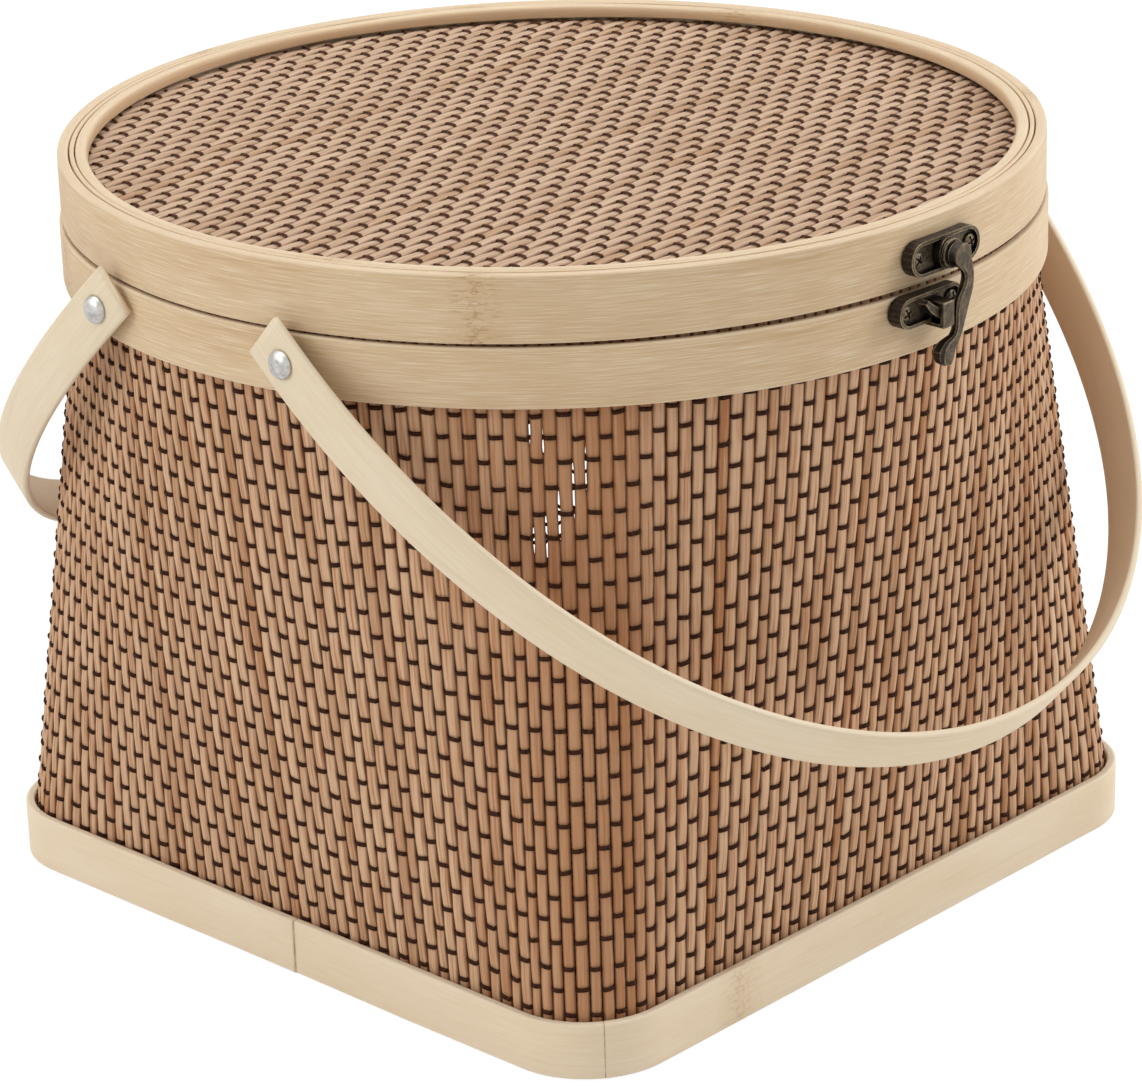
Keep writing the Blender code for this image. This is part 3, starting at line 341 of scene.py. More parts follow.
class Nodes:
    """Short calls for building the node tree of a material or the world."""

    def __init__(self, owner):
        self.tree = owner.node_tree

    def add(self, kind, **settings):
        node = self.tree.nodes.new(kind)
        for key, value in settings.items():
            setattr(node, key, value)
        return node

    def link(self, source, target):
        self.tree.links.new(source, target)

    def number(self, name):
        return self.add("ShaderNodeAttribute", attribute_name=name).outputs["Fac"]

    def run(self, along, across, shift=None):
        """The mesh's lengths map, stretched to so many repeats a metre each way."""
        source = self.add("ShaderNodeUVMap", uv_map="run").outputs["UV"]
        scale = self.add("ShaderNodeVectorMath", operation="MULTIPLY")
        self.link(source, scale.inputs[0])
        scale.inputs[1].default_value = (along, across, 1.0)
        if shift is None:
            return scale.outputs[0]
        spread = self.add("ShaderNodeCombineXYZ")
        self.link(shift, spread.inputs["Z"])
        total = self.add("ShaderNodeVectorMath", operation="ADD")
        self.link(scale.outputs[0], total.inputs[0])
        self.link(spread.outputs[0], total.inputs[1])
        return total.outputs[0]

    def noise(self, vector, detail=3.0, rough=0.6, distortion=0.0, scale=1.0):
        node = self.add("ShaderNodeTexNoise")
        self.link(vector, node.inputs["Vector"])
        node.inputs["Scale"].default_value = scale
        node.inputs["Detail"].default_value = detail
        node.inputs["Roughness"].default_value = rough
        node.inputs["Distortion"].default_value = distortion
        return node.outputs["Fac"]

    def ramp(self, value, *stops):
        node = self.add("ShaderNodeValToRGB")
        self.link(value, node.inputs["Fac"])
        ramp = node.color_ramp
        while len(ramp.elements) < len(stops):
            ramp.elements.new(1.0)
        for element, (place, colour) in zip(ramp.elements, stops):
            element.position = place
            element.color = colour
        return node.outputs["Color"]

    def scaled(self, value, low, high, start=0.0, end=1.0):
        node = self.add("ShaderNodeMapRange")
        self.link(value, node.inputs["Value"])
        limits = {"From Min": low, "From Max": high, "To Min": start, "To Max": end}
        for key, number in limits.items():
            node.inputs[key].default_value = number
        return node.outputs["Result"]

    def math(self, operation, first, second):
        node = self.add("ShaderNodeMath", operation=operation)
        for socket, value in zip(node.inputs, (first, second)):
            if isinstance(value, (int, float)):
                socket.default_value = value
            else:
                self.link(value, socket)
        return node.outputs[0]

    def times(self, first, second):
        return self.math("MULTIPLY", first, second)

    def mix(self, factor, first, second):
        node = self.add("ShaderNodeMix", data_type="RGBA")
        sockets = {s.identifier: s for s in node.inputs}
        for key, value in (("Factor_Float", factor), ("A_Color", first), ("B_Color", second)):
            if isinstance(value, (int, float, tuple)):
                sockets[key].default_value = value
            else:
                self.link(value, sockets[key])
        return {s.identifier: s for s in node.outputs}["Result_Color"]

    def bump(self, height, depth, shader, strength=1.0):
        node = self.add("ShaderNodeBump")
        node.inputs["Strength"].default_value = strength
        node.inputs["Distance"].default_value = depth
        self.link(height, node.inputs["Height"])
        self.link(node.outputs["Normal"], shader.inputs["Normal"])

    def seen_white(self):
        """1 for rays from the camera and for those that metal or glass sends on."""
        path = self.add("ShaderNodeLightPath")
        seen = self.math("MAXIMUM", path.outputs["Is Camera Ray"], path.outputs["Is Glossy Ray"])
        return self.math("MAXIMUM", seen, path.outputs["Is Transmission Ray"])


def bamboo_skin(name, pale, tan, streak, seed, streaky=1.0, shaded=0.60):
    """Planed bamboo: long fine fibres and broad drift, paler cut edges with a painted highlight, and
    marks at its joints.

    The mesh's numbers say where those are: `knot` is the distance to the nearest joint of the
    cane, `edge` is 1 on the cut edges, `inner` is 1 on the side that faces in, and `seam` is the
    distance to the end of a lapped strip. The cut edges are paler partly in their own colour and
    partly as a painted highlight where the edges face the light. `streaky` scales the fibres
    and marks, and `shaded` is how much browner the inner side is, partly its own colour and
    partly painted shade."""
    skin, shader = shader_tree(name, 0.50, Specular_IOR_Level=0.26)
    n = Nodes(skin)
    offset = n.add("ShaderNodeValue")
    offset.outputs[0].default_value = seed
    shift = offset.outputs[0]
    fibres = n.noise(n.run(85.0, 3400.0, shift), 4.0, 0.62)
    streaks = n.noise(n.run(17.0, 900.0, shift), distortion=0.3)
    drift = n.noise(n.run(16.0, 60.0, shift))
    base = n.ramp(drift, (0.32, tan), (0.66, pale))
    base = n.mix(n.scaled(streaks, 0.55, 0.80, 0.0, 0.42 * streaky), base, streak)
    base = n.mix(n.scaled(fibres, 0.50, 0.70, 0.0, 0.42 * streaky), base, srgb(250, 240, 220))
    base = n.mix(n.scaled(fibres, 0.48, 0.26, 0.0, 0.30 * streaky), base, streak)
    # Cut edges mixed paler: partly the cut cane's own colour, partly a painted highlight on edges
    # that face the light.
    base = n.mix(n.times(n.number("edge"), 0.34), base, srgb(230, 215, 192))
    # Inner side mixed browner: partly its own colour, partly painted shade on the side that faces in.
    base = n.mix(n.times(n.number("inner"), shaded), base, srgb(200, 166, 130))
    knot = n.number("knot")
    specks = n.noise(n.run(330.0, 1500.0, shift), 3.0, 0.7)
    near = n.scaled(knot, 0.0010, 0.0085, 1.0, 0.0)
    marks = n.times(near, n.scaled(specks, 0.52, 0.66))
    base = n.mix(n.times(near, 0.22), base, srgb(206, 172, 126))
    base = n.mix(n.times(marks, 0.55 * streaky), base, srgb(160, 120, 76))
    ragged = n.noise(n.run(60.0, 420.0, shift), 2.0, 0.5)
    line = n.math("ADD", knot, n.scaled(ragged, 0.35, 0.65, -0.0012, 0.0012))
    line = n.scaled(n.math("ABSOLUTE", line, 0.0), 0.0001, 0.0005, 1.0, 0.0)
    base = n.mix(n.times(line, 0.30 * streaky), base, srgb(150, 112, 70))
    seam = n.scaled(n.number("seam"), 0.00004, 0.00018, 1.0, 0.0)
    torn = n.scaled(ragged, 0.35, 0.60, 0.35, 0.75)
    base = n.mix(n.times(seam, torn), base, srgb(118, 96, 68))
    n.link(base, shader.inputs["Base Color"])
    n.link(n.scaled(fibres, 0.3, 0.7, 0.42, 0.62), shader.inputs["Roughness"])
    relief = n.math("ADD", n.times(fibres, 0.6), n.times(streaks, 0.4))
    relief = n.math("SUBTRACT", relief, n.times(marks, 0.5))
    relief = n.math("SUBTRACT", relief, n.times(seam, 0.8))
    n.bump(relief, 0.00018, shader, 0.7)
    return skin


def stick_skin(name, light, dark, amber, groove_shade):
    """Split bamboo sticks: each has its own tone, with fine fibres and patches, painted shade on its
    flanks, and an amber mix near the corner that is partly painted shade.
    """
    skin, shader = shader_tree(name, 0.62, Specular_IOR_Level=0.12)
    n = Nodes(skin)
    tone = n.number("tone")
    shift = n.times(tone, 57.0)
    fibres = n.noise(n.run(40.0, 1700.0, shift))
    stains = n.noise(n.run(30.0, 90.0, shift))
    base = n.ramp(tone, (0.0, amber), (0.10, dark), (0.40, light), (1.0, light))
    base = n.mix(n.scaled(stains, 0.50, 0.72, 0.0, 0.75), base, dark)
    base = n.mix(n.scaled(stains, 0.40, 0.22, 0.0, 0.65), base, amber)
    base = n.mix(n.scaled(fibres, 0.51, 0.70, 0.0, 0.45), base, srgb(232, 204, 172))
    base = n.mix(n.scaled(fibres, 0.49, 0.34, 0.0, 0.85), base, amber)
    # Amber mix on the sticks round the near corner: partly their own colour, partly painted shade.
    base = n.mix(n.times(n.number("stain"), 0.62), base, amber)
    # Flanks mixed toward a dark brown: painted shade in the gaps between sticks.
    flank = n.number("flank")
    base = n.mix(n.scaled(flank, 0.60, 1.0, 0.0, 0.85), base, groove_shade)
    n.link(base, shader.inputs["Base Color"])
    n.bump(fibres, 0.00012, shader, 0.7)
    return skin


def thread_skin(name, dark, light):
    """Dark waxed thread with a fine twist."""
    skin, shader = shader_tree(name, 0.70, Specular_IOR_Level=0.04)
    n = Nodes(skin)
    twist = n.noise(n.run(1400.0, 500.0), 2.0, 0.5)
    n.link(n.ramp(twist, (0.3, dark), (0.75, light)), shader.inputs["Base Color"])
    n.bump(twist, 0.00010, shader, 0.6)
    return skin


def bronze_skin():
    """Antiqued bronze: faces toward ±Y painted lit, sides and hollows painted in shade, grime, and
    edges rubbed bright.
    """
    skin, shader = shader_tree("antique_bronze", 0.36, 0.60)
    n = Nodes(skin)
    spot = n.add("ShaderNodeTexCoord")
    place = spot.outputs["Object"]
    split = n.add("ShaderNodeSeparateXYZ")
    n.link(spot.outputs["Normal"], split.inputs[0])
    # Faces turned toward ±Y get the lit colour and the sides a near-black one: painted light, shade
    # and reflection by facing.
    lit_facing = n.scaled(n.math("ABSOLUTE", split.outputs["Y"], 0.0), 0.55, 0.85)
    mottle = n.noise(place, 4.0, scale=900.0)
    grime = n.noise(place, scale=300.0)
    eased = n.add("ShaderNodeBevel", samples=4)
    eased.inputs["Radius"].default_value = RUBBED_RADIUS
    turned_by = n.add("ShaderNodeVectorMath", operation="DOT_PRODUCT")
    n.link(eased.outputs[0], turned_by.inputs[0])
    n.link(n.add("ShaderNodeNewGeometry").outputs["Normal"], turned_by.inputs[1])
    sharp = n.math("SUBTRACT", 1.0, turned_by.outputs["Value"])
    around = n.add("ShaderNodeAmbientOcclusion", samples=6)
    around.inputs["Distance"].default_value = HOLLOW_REACH
    open_sky = around.outputs["AO"]
    dull, plain, bright = srgb(64, 54, 41), srgb(98, 84, 63), srgb(130, 112, 84)
    lit_face_colour = n.ramp(mottle, (0.30, dull), (0.55, plain), (0.78, bright))
    # The sides' dark colour is painted shade and a painted dark reflection.
    sides = n.ramp(mottle, (0.30, srgb(20, 14, 10)), (0.70, srgb(52, 39, 28)))
    base = n.mix(lit_facing, sides, lit_face_colour)
    base = n.mix(n.scaled(grime, 0.48, 0.66, 0.0, 0.50), base, srgb(26, 20, 16))
    rubbed = n.times(n.scaled(sharp, 0.01, 0.10), n.scaled(mottle, 0.30, 0.55, 0.35, 1.0))
    rubbed = n.times(rubbed, n.scaled(open_sky, 0.50, 0.75))
    base = n.mix(n.times(rubbed, 0.90), base, srgb(186, 165, 130))
    # Hollows mixed near black by how open they are: painted shade in the recesses.
    base = n.mix(n.scaled(open_sky, 0.75, 0.25, 0.0, 0.90), base, srgb(16, 12, 10))
    n.link(base, shader.inputs["Base Color"])
    n.link(n.scaled(mottle, 0.3, 0.7, 0.26, 0.50), shader.inputs["Roughness"])
    n.bump(n.math("ADD", mottle, grime), 0.00016, shader, 0.7)
    return skin


def aluminium_skin():
    """Dull, lightly scuffed aluminium."""
    skin, shader = shader_tree("rivet_aluminium", 0.34, 1.0)
    n = Nodes(skin)
    place = n.add("ShaderNodeTexCoord").outputs["Object"]
    scuff = n.noise(place, 4.0, scale=700.0)
    tone = n.ramp(scuff, (0.3, srgb(168, 165, 160)), (0.7, srgb(214, 212, 207)))
    n.link(tone, shader.inputs["Base Color"])
    n.link(n.scaled(scuff, 0.3, 0.7, 0.26, 0.46), shader.inputs["Roughness"])
    n.bump(scuff, 0.00008, shader, 0.4)
    return skin


HOOP_SKIN = bamboo_skin(
    "bamboo_hoop", pale=srgb(217, 191, 154), tan=srgb(205, 174, 134), streak=srgb(180, 142, 96),
    seed=3.1,
)
BASE_SKIN = bamboo_skin(
    "bamboo_base", pale=srgb(237, 220, 194), tan=srgb(230, 209, 178), streak=srgb(206, 175, 134),
    seed=7.7, streaky=0.5,
)
STRAP_SKIN = bamboo_skin(
    "bamboo_strap", pale=srgb(231, 215, 188), tan=srgb(225, 206, 174), streak=srgb(204, 174, 132),
    seed=12.3, streaky=0.55, shaded=0.42,
)
STICK_SKIN = stick_skin(
    "wall_sticks", light=srgb(210, 171, 137), dark=srgb(186, 143, 109), amber=srgb(172, 116, 74),
    groove_shade=srgb(92, 50, 27),
)
LID_STICK_SKIN = stick_skin(
    "lid_sticks", light=srgb(193, 165, 141), dark=srgb(181, 151, 126), amber=srgb(175, 141, 111),
    groove_shade=srgb(134, 98, 73),
)
THREAD_SKIN = thread_skin("wall_thread", dark=srgb(40, 22, 14), light=srgb(78, 48, 34))
LID_THREAD_SKIN = thread_skin("lid_thread", dark=srgb(66, 40, 27), light=srgb(106, 72, 52))
BRONZE_SKIN = bronze_skin()
ALUMINIUM_SKIN = aluminium_skin()


def finish_piece(obj, skin, body, slot, *nodes):
    """Give a piece its material and its body, and hide the CAD nodes that it stands for; `slot` is
    not used.
    """
    obj.data.materials.append(skin)
    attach(obj, body)
    if nodes:
        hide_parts(*nodes)


# The wall's mat
FIRST_ROW_DROP = 0.0008
WALL_FIRST_ROW = BASE_BAND_HEIGHT - FIRST_ROW_DROP
WALL_ROWS = 27
CLIMB_START = 0.6
# Each climb is (share of the turn, spread, rise): the rows step up round the near corner
ROW_CLIMBS = ((0.80, 0.010, 0.00125), (1.0, 0.020, 0.00040), (1.4, 0.150, -0.00165))
ROW_BUMPS = ((0.824, 0.014, 0.00060), (0.95, 0.045, 0.00175))
ROW_LIFT = 0.00045
ROW_DRIFT = 0.00012
ROW_LOOSENESS = 0.00022


def row_wander():
    """How far the rows stand above level at each stick."""
    turn = CLIMB_START + np.mod(np.arange(WALL_STICKS) / WALL_STICKS - CLIMB_START, 1.0)
    rise = ROW_LIFT + smooth_noise(WALL_STICKS, reach=22, seed=11) * ROW_DRIFT
    for spot, spread, height in ROW_CLIMBS:
        rise = rise + height * (0.5 + 0.5 * np.tanh((turn - spot) / spread))
    for spot, spread, height in ROW_BUMPS:
        rise = rise + height * np.exp(-((turn - spot) / spread) ** 2)
    return rise


WANDER = row_wander()
ROW_WANDER = [
    smooth_noise(WALL_STICKS, reach=14, seed=100 + row) * ROW_LOOSENESS for row in range(WALL_ROWS)
]
STICK_EDGES = np.append(rng.uniform(-EDGE_JITTER, EDGE_JITTER, WALL_STICKS), 0)
STICK_EDGES = (np.arange(WALL_STICKS + 1) + STICK_EDGES) / WALL_STICKS
STICK_EDGES[-1] = STICK_EDGES[0] + 1.0
STICK_TONES = rng.uniform(0, 1, WALL_STICKS)
# The sticks round the near corner, where the mat bends, are mixed toward amber: partly their own
# colour, partly painted shade under the rim and handle.
BEND_SHARE = 0.875
BEND_SPREAD = 0.030
STICK_MIDDLES = (np.arange(WALL_STICKS) + 0.5) / WALL_STICKS
STICK_STAINS_AND_SHADE = np.exp(-((STICK_MIDDLES - BEND_SHARE) / BEND_SPREAD) ** 2)
# Light shows through the mat at some stick edges: (edges, low, high, half width).
# First the mat is closed up there, and last come the far side's slits, which they are seen against
SLITS = (
    (range(198, 217), 0.095, 0.152, -0.00016),
    (205, 0.120, 0.127, 0.00011), (207, 0.117, 0.125, 0.00011), (207, 0.141, 0.148, 0.00011),
    (208, 0.116, 0.127, 0.00009), (208, 0.139, 0.144, 0.00008), (209, 0.120, 0.131, 0.00012),
    (210, 0.126, 0.137, 0.00008), (211, 0.131, 0.141, 0.00009),
    (87, 0.039, 0.055, 0.00045), (88, 0.031, 0.048, 0.00045), (90, 0.022, 0.040, 0.00045),
    (91, 0.018, 0.034, 0.00045), (91, 0.049, 0.059, 0.00045), (92, 0.018, 0.032, 0.00045),
    (92, 0.053, 0.063, 0.00045), (95, 0.025, 0.037, 0.00045),
)
SLIT_END = 0.0012
# How far some edges of the far side have slid, in stick widths
for edge, slid in ((87, -0.20), (88, 0.10), (90, -0.36), (91, -0.12), (92, 0.20)):
    STICK_EDGES[edge] += slid / WALL_STICKS
RIM_TURN = 2 * math.pi * RIM_RADIUS


def around(values, share):
    """Values given at each stick, read off at any share of the turn."""
    spots = np.mod(share, 1.0) * len(values)
    return np.interp(spots, np.arange(len(values) + 1), np.append(values, values[0]))


def row_height(share, row):
    """How high a thread runs at a share of the turn; the rows wander a little."""
    level = WALL_FIRST_ROW + row * WALL_ROW_PITCH
    return level + around(WANDER, share) + around(ROW_WANDER[row], share)


def slit_share(number, level):
    """How far a stick stands back from its edge at each height, as a share of the turn."""
    back = np.zeros(level.shape)
    number = np.mod(number, WALL_STICKS)[:, None]
    for edges, low, high, half in SLITS:
        ends = np.clip((level - low) / SLIT_END, 0, 1) * np.clip((high - level) / SLIT_END, 0, 1)
        back = np.where(np.isin(number, edges), back * (1 - ends) + half * ends, back)
    return back / RIM_TURN


def wall_sticks(part, name):
    """A quarter of the upright sticks, each a flattened rod that bends round the threads."""
    first = WALL_STICKS * part // 4 - WALL_STICKS // 8
    index = np.arange(first, first + WALL_STICKS // 4)
    wrap = np.floor(index / WALL_STICKS)
    left = STICK_EDGES[index % WALL_STICKS] + wrap
    right = STICK_EDGES[index % WALL_STICKS + 1] + wrap
    rows = np.arange(-1, 2 * WALL_ROWS + 3) / 2
    heights = WALL_FIRST_ROW + rows * WALL_ROW_PITCH
    ends = [WALL_LOW[2], STICK_FOOT_RING, WALL_TOP - STICK_TOP_RING, WALL_TOP]
    heights = np.concatenate([heights, ends])
    heights = heights[heights > WALL_LOW[2] - 1e-6]
    heights = np.unique(np.round(heights, 6))
    tops = rng.uniform(-STICK_TOP_STEP, 0.0, len(index))
    level = np.tile(heights, (len(index), 1))
    level[:, -1] += tops
    left = left[:, None] + slit_share(index, level)
    right = right[:, None] - slit_share(index + 1, level)
    share = (left + right) / 2
    centre = wall_point(share, level)
    a = wall_point(left, level)
    b = wall_point(right, level)
    across = unit(b - a)
    half = np.linalg.norm(b - a, axis=-1) / 2 * STICK_FILL
    axial = unit(np.gradient(centre, axis=1))
    out = unit(np.cross(across, axial))
    phase = (level - WALL_FIRST_ROW - around(WANDER, share)) / WALL_ROW_PITCH
    sign = np.where(index % 2 == 0, 1.0, -1.0)[:, None]
    above = np.clip((level - BASE_BAND_HEIGHT) / WAVE_FADE, 0, 1)
    below = np.clip((RIM_BOTTOM - level) / WAVE_FADE, 0, 1)
    wave = -STICK_WAVE * np.cos(math.pi * phase) * sign * (above * below)
    centre = centre + out * wave[..., None]
    lift, depth = section(sides=8)
    width = half[..., None] * lift
    points = tube_points(centre, across, width, out, STICK_DEPTH * depth)
    run = lengths_map(level, width + index[:, None, None] * STICK_RUN_STEP)
    stick = (index % WALL_STICKS)[:, None, None]
    obj = new_mesh(name, points, tube_faces(*points.shape[:3]), run=run, tone=STICK_TONES[stick],
                   flank=np.abs(lift), stain=STICK_STAINS_AND_SHADE[stick])
    finish_piece(obj, STICK_SKIN, "basket", "woven_sticks", "body_weave")


def wall_threads(rows, name):
    """Threads that run right round, over one stick and under the next."""
    across, heights = (np.array(values) for values in zip(*THREAD_STOPS))
    index = np.arange(WALL_STICKS * len(THREAD_STOPS))
    stick = index // len(THREAD_STOPS)
    stop = index % len(THREAD_STOPS)
    share = STICK_EDGES[stick] + (STICK_EDGES[stick + 1] - STICK_EDGES[stick]) * across[stop]
    lift, depth = section(sides=6, flat=1.0)
    reach = STICK_DEPTH + THREAD_DEPTH * THREAD_CLEAR
    clouds = []
    runs = []
    for row in rows:
        sign = np.where((stick + row) % 2 == 0, 1.0, -1.0)
        bow = heights[stop] * sign * reach
        loose = np.random.default_rng(900 + row).normal(size=(2, WALL_STICKS))[:, stick]
        lean = loose[1] * (across[stop] - 0.5) * THREAD_LEAN
        height = row_height(share, row) + loose[0] * THREAD_JITTER + lean * np.sign(across[stop])
        centre = wall_point(share, height)
        along = unit(np.roll(centre, -1, 0) - np.roll(centre, 1, 0))
        out = unit(np.cross(along, UP))
        centre = centre + out * bow[:, None]
        along = unit(np.roll(centre, -1, 0) - np.roll(centre, 1, 0))
        out = unit(np.cross(along, UP))
        high = np.cross(out, along)
        clouds.append(tube_points(centre, high, THREAD_HEIGHT * lift, out, THREAD_DEPTH * depth))
        runs.append(lengths_map(share * RIM_TURN, lift * THREAD_HEIGHT + row))
    points = np.stack(clouds)
    faces = [face[:, ::-1] for face in tube_faces(*points.shape[:3], closed=True)]
    obj = new_mesh(name, points, faces, run=np.stack(runs))
    finish_piece(obj, THREAD_SKIN, "basket", "weaving_thread", "body_weave")


for part, side in enumerate(("front", "right", "back", "left")):
    wall_sticks(part, "wall_sticks_" + side)
wall_threads(range(0, WALL_ROWS // 2), "wall_threads_lower")
wall_threads(range(WALL_ROWS // 2, WALL_ROWS), "wall_threads_upper")


# Flat mats: the lid's and the floor's
class Tubes:
    """Open tubes of different lengths, gathered for one mesh."""

    def __init__(self):
        self.points, self.faces, self.runs, self.base = [], [], [], 0

    def add(self, points, along, across):
        """One tube, laid out [ring][side], with its lengths along and across."""
        rings, sides = points.shape[:2]
        self.points.append(points.reshape(-1, 3))
        self.runs.append(lengths_map(along, across).reshape(-1, 2))
        self.faces += [face[:, ::-1] + self.base for face in tube_faces(1, rings, sides)]
        self.base += rings * sides

    def mesh(self, name, **numbers):
        kinds = sorted({face.shape[1] for face in self.faces})
        groups = [np.concatenate([f for f in self.faces if f.shape[1] == kind]) for kind in kinds]
        points, run = np.concatenate(self.points), np.concatenate(self.runs)
        return new_mesh(name, points, groups, run=run, **numbers)


def mat_sticks(name, edge, edges, turn, middle, half_depth, sides, random):
    """The sticks of a flat mat, side by side between the edges."""
    along = np.array([math.cos(turn), math.sin(turn)])
    side = np.array([-math.sin(turn), math.cos(turn)])
    lift, depth = section(sides)
    tubes = Tubes()
    tones = []
    for k, offset in enumerate((edges[:-1] + edges[1:]) / 2):
        span = edge(side * offset, along)
        if span is None or span[1] - span[0] < LID_THREAD_PITCH:
            continue
        rings = max(int((span[1] - span[0]) / LID_THREAD_PITCH * 2), 3)
        s = np.linspace(*span, rings)
        spot = side * offset + along * s[:, None]
        phase = spot[:, 0] / LID_THREAD_PITCH
        wave = -STICK_WAVE * np.cos(math.pi * phase) * (1 if k % 2 == 0 else -1)
        half = (edges[k + 1] - edges[k]) / 2 * STICK_FILL
        centre = np.column_stack([spot, middle + wave])
        points = tube_points(centre, np.append(side, 0), half * lift, UP, half_depth * depth)
        tubes.add(points, s, half * lift + k * STICK_RUN_STEP)
        tones.append(np.full(rings * sides, random.uniform(0, 1)))
    flank = np.tile(np.abs(lift), tubes.base // sides)
    return tubes.mesh(name, tone=np.concatenate(tones), flank=flank)


def mat_threads(name, edge, edges, turn, middle, half_depth, width, seed):
    """The threads of a flat mat, over one stick and under the next."""
    lines = int(width / LID_THREAD_PITCH)
    lift, depth = section(sides=5, flat=1.0)
    bow_reach = half_depth + THREAD_DEPTH * THREAD_CLEAR
    wide = np.array([1.0, 0.0, 0.0])
    tubes = Tubes()
    for j in range(lines):
        x = (j - (lines - 1) / 2) * LID_THREAD_PITCH
        span = edge(np.array([x, 0.0]), np.array([0.0, 1.0]))
        if span is None:
            continue
        # Stick edges are lines across the thread, so their places follow the sticks' turn
        cross = (edges + math.sin(turn) * x) / math.cos(turn)
        place = []
        bow = []
        for k in range(len(edges) - 1):
            over = 1 if (k + j) % 2 == 0 else -1
            for share, rise in THREAD_STOPS:
                y = cross[k] + (cross[k + 1] - cross[k]) * share
                if span[0] + THREAD_END_GAP < y < span[1] - THREAD_END_GAP:
                    place.append(y)
                    bow.append(over * rise * bow_reach)
        if len(place) < SHORTEST_THREAD:
            continue
        place = np.array(place)
        sway = smooth_noise(LID_THREAD_STEPS, reach=5, seed=seed + j) * LID_THREAD_DRIFT
        spots = np.linspace(-LID_THREAD_HALF, LID_THREAD_HALF, LID_THREAD_STEPS)
        drift = np.interp(place, spots, sway)
        centre = np.column_stack([x + drift, place, middle + np.array(bow)])
        forward = unit(np.gradient(centre, axis=0))
        rise = unit(np.cross(wide, forward))
        points = tube_points(centre, wide, LID_THREAD_HEIGHT * lift, rise, THREAD_DEPTH * depth)
        tubes.add(points, place, lift * LID_THREAD_HEIGHT + j)
    return tubes.mesh(name)


def flat_mat(name, node, body, edge, low, high, skins, seed, turn_deg, sides=8):
    """A woven plate: sticks side by side and threads across them, both ending at an edge.

    edge(p, d) gives how far each way a line through p along d runs before the mat ends."""
    random = np.random.default_rng(seed)
    middle = (low[2] + high[2]) / 2
    half_depth = (high[2] - low[2]) / 2 - 2 * THREAD_DEPTH
    turn = math.radians(turn_deg)
    reach = float(np.hypot(high[0], high[1]) if edge is square_edge else high[1])
    count = int(2 * reach / LID_STICK_PITCH)
    edges = np.arange(count + 1) - count / 2 + random.uniform(-EDGE_JITTER, EDGE_JITTER, count + 1)
    shape = (edge, edges * LID_STICK_PITCH, turn, middle, half_depth)
    sticks = mat_sticks(name + "_sticks", *shape, sides, random)
    finish_piece(sticks, skins[0], body, "woven_sticks", node)
    threads = mat_threads(name + "_threads", *shape, 2 * float(high[0]), seed)
    finish_piece(threads, skins[1], body, "weaving_thread", node)


def round_edge(spot, along):
    """Where a line leaves the lid mat's circle."""
    radius = float(LID_MAT_HIGH[0]) - GAP
    middle = -float(spot @ along)
    rest = radius ** 2 - float(spot @ spot) + middle ** 2
    if rest <= 0:
        return None
    return middle - math.sqrt(rest), middle + math.sqrt(rest)


def square_edge(spot, along):
    """Where a line leaves the floor panel's rounded square."""
    half = float(PANEL_HIGH[0]) - GAP
    corner = BASE_CORNER_RADIUS / 2
    s = np.linspace(-1.5 * half, 1.5 * half, EDGE_SEARCH_STEPS)
    line = np.abs(spot + along * s[:, None])
    over = np.maximum(line - (half - corner), 0)
    inside = np.hypot(over[:, 0], over[:, 1]) <= corner
    if not inside.any():
        return None
    return float(s[inside].min()), float(s[inside].max())


flat_mat("lid_mat", "lid_mat", "lid", round_edge, LID_MAT_LOW, LID_MAT_HIGH,
         (LID_STICK_SKIN, LID_THREAD_SKIN), seed=21, turn_deg=LID_STICK_TURN_DEG)
flat_mat("floor_mat", "base_panel", "basket", square_edge, PANEL_LOW, PANEL_HIGH,
         (STICK_SKIN, THREAD_SKIN), seed=22, turn_deg=0.0, sides=6)


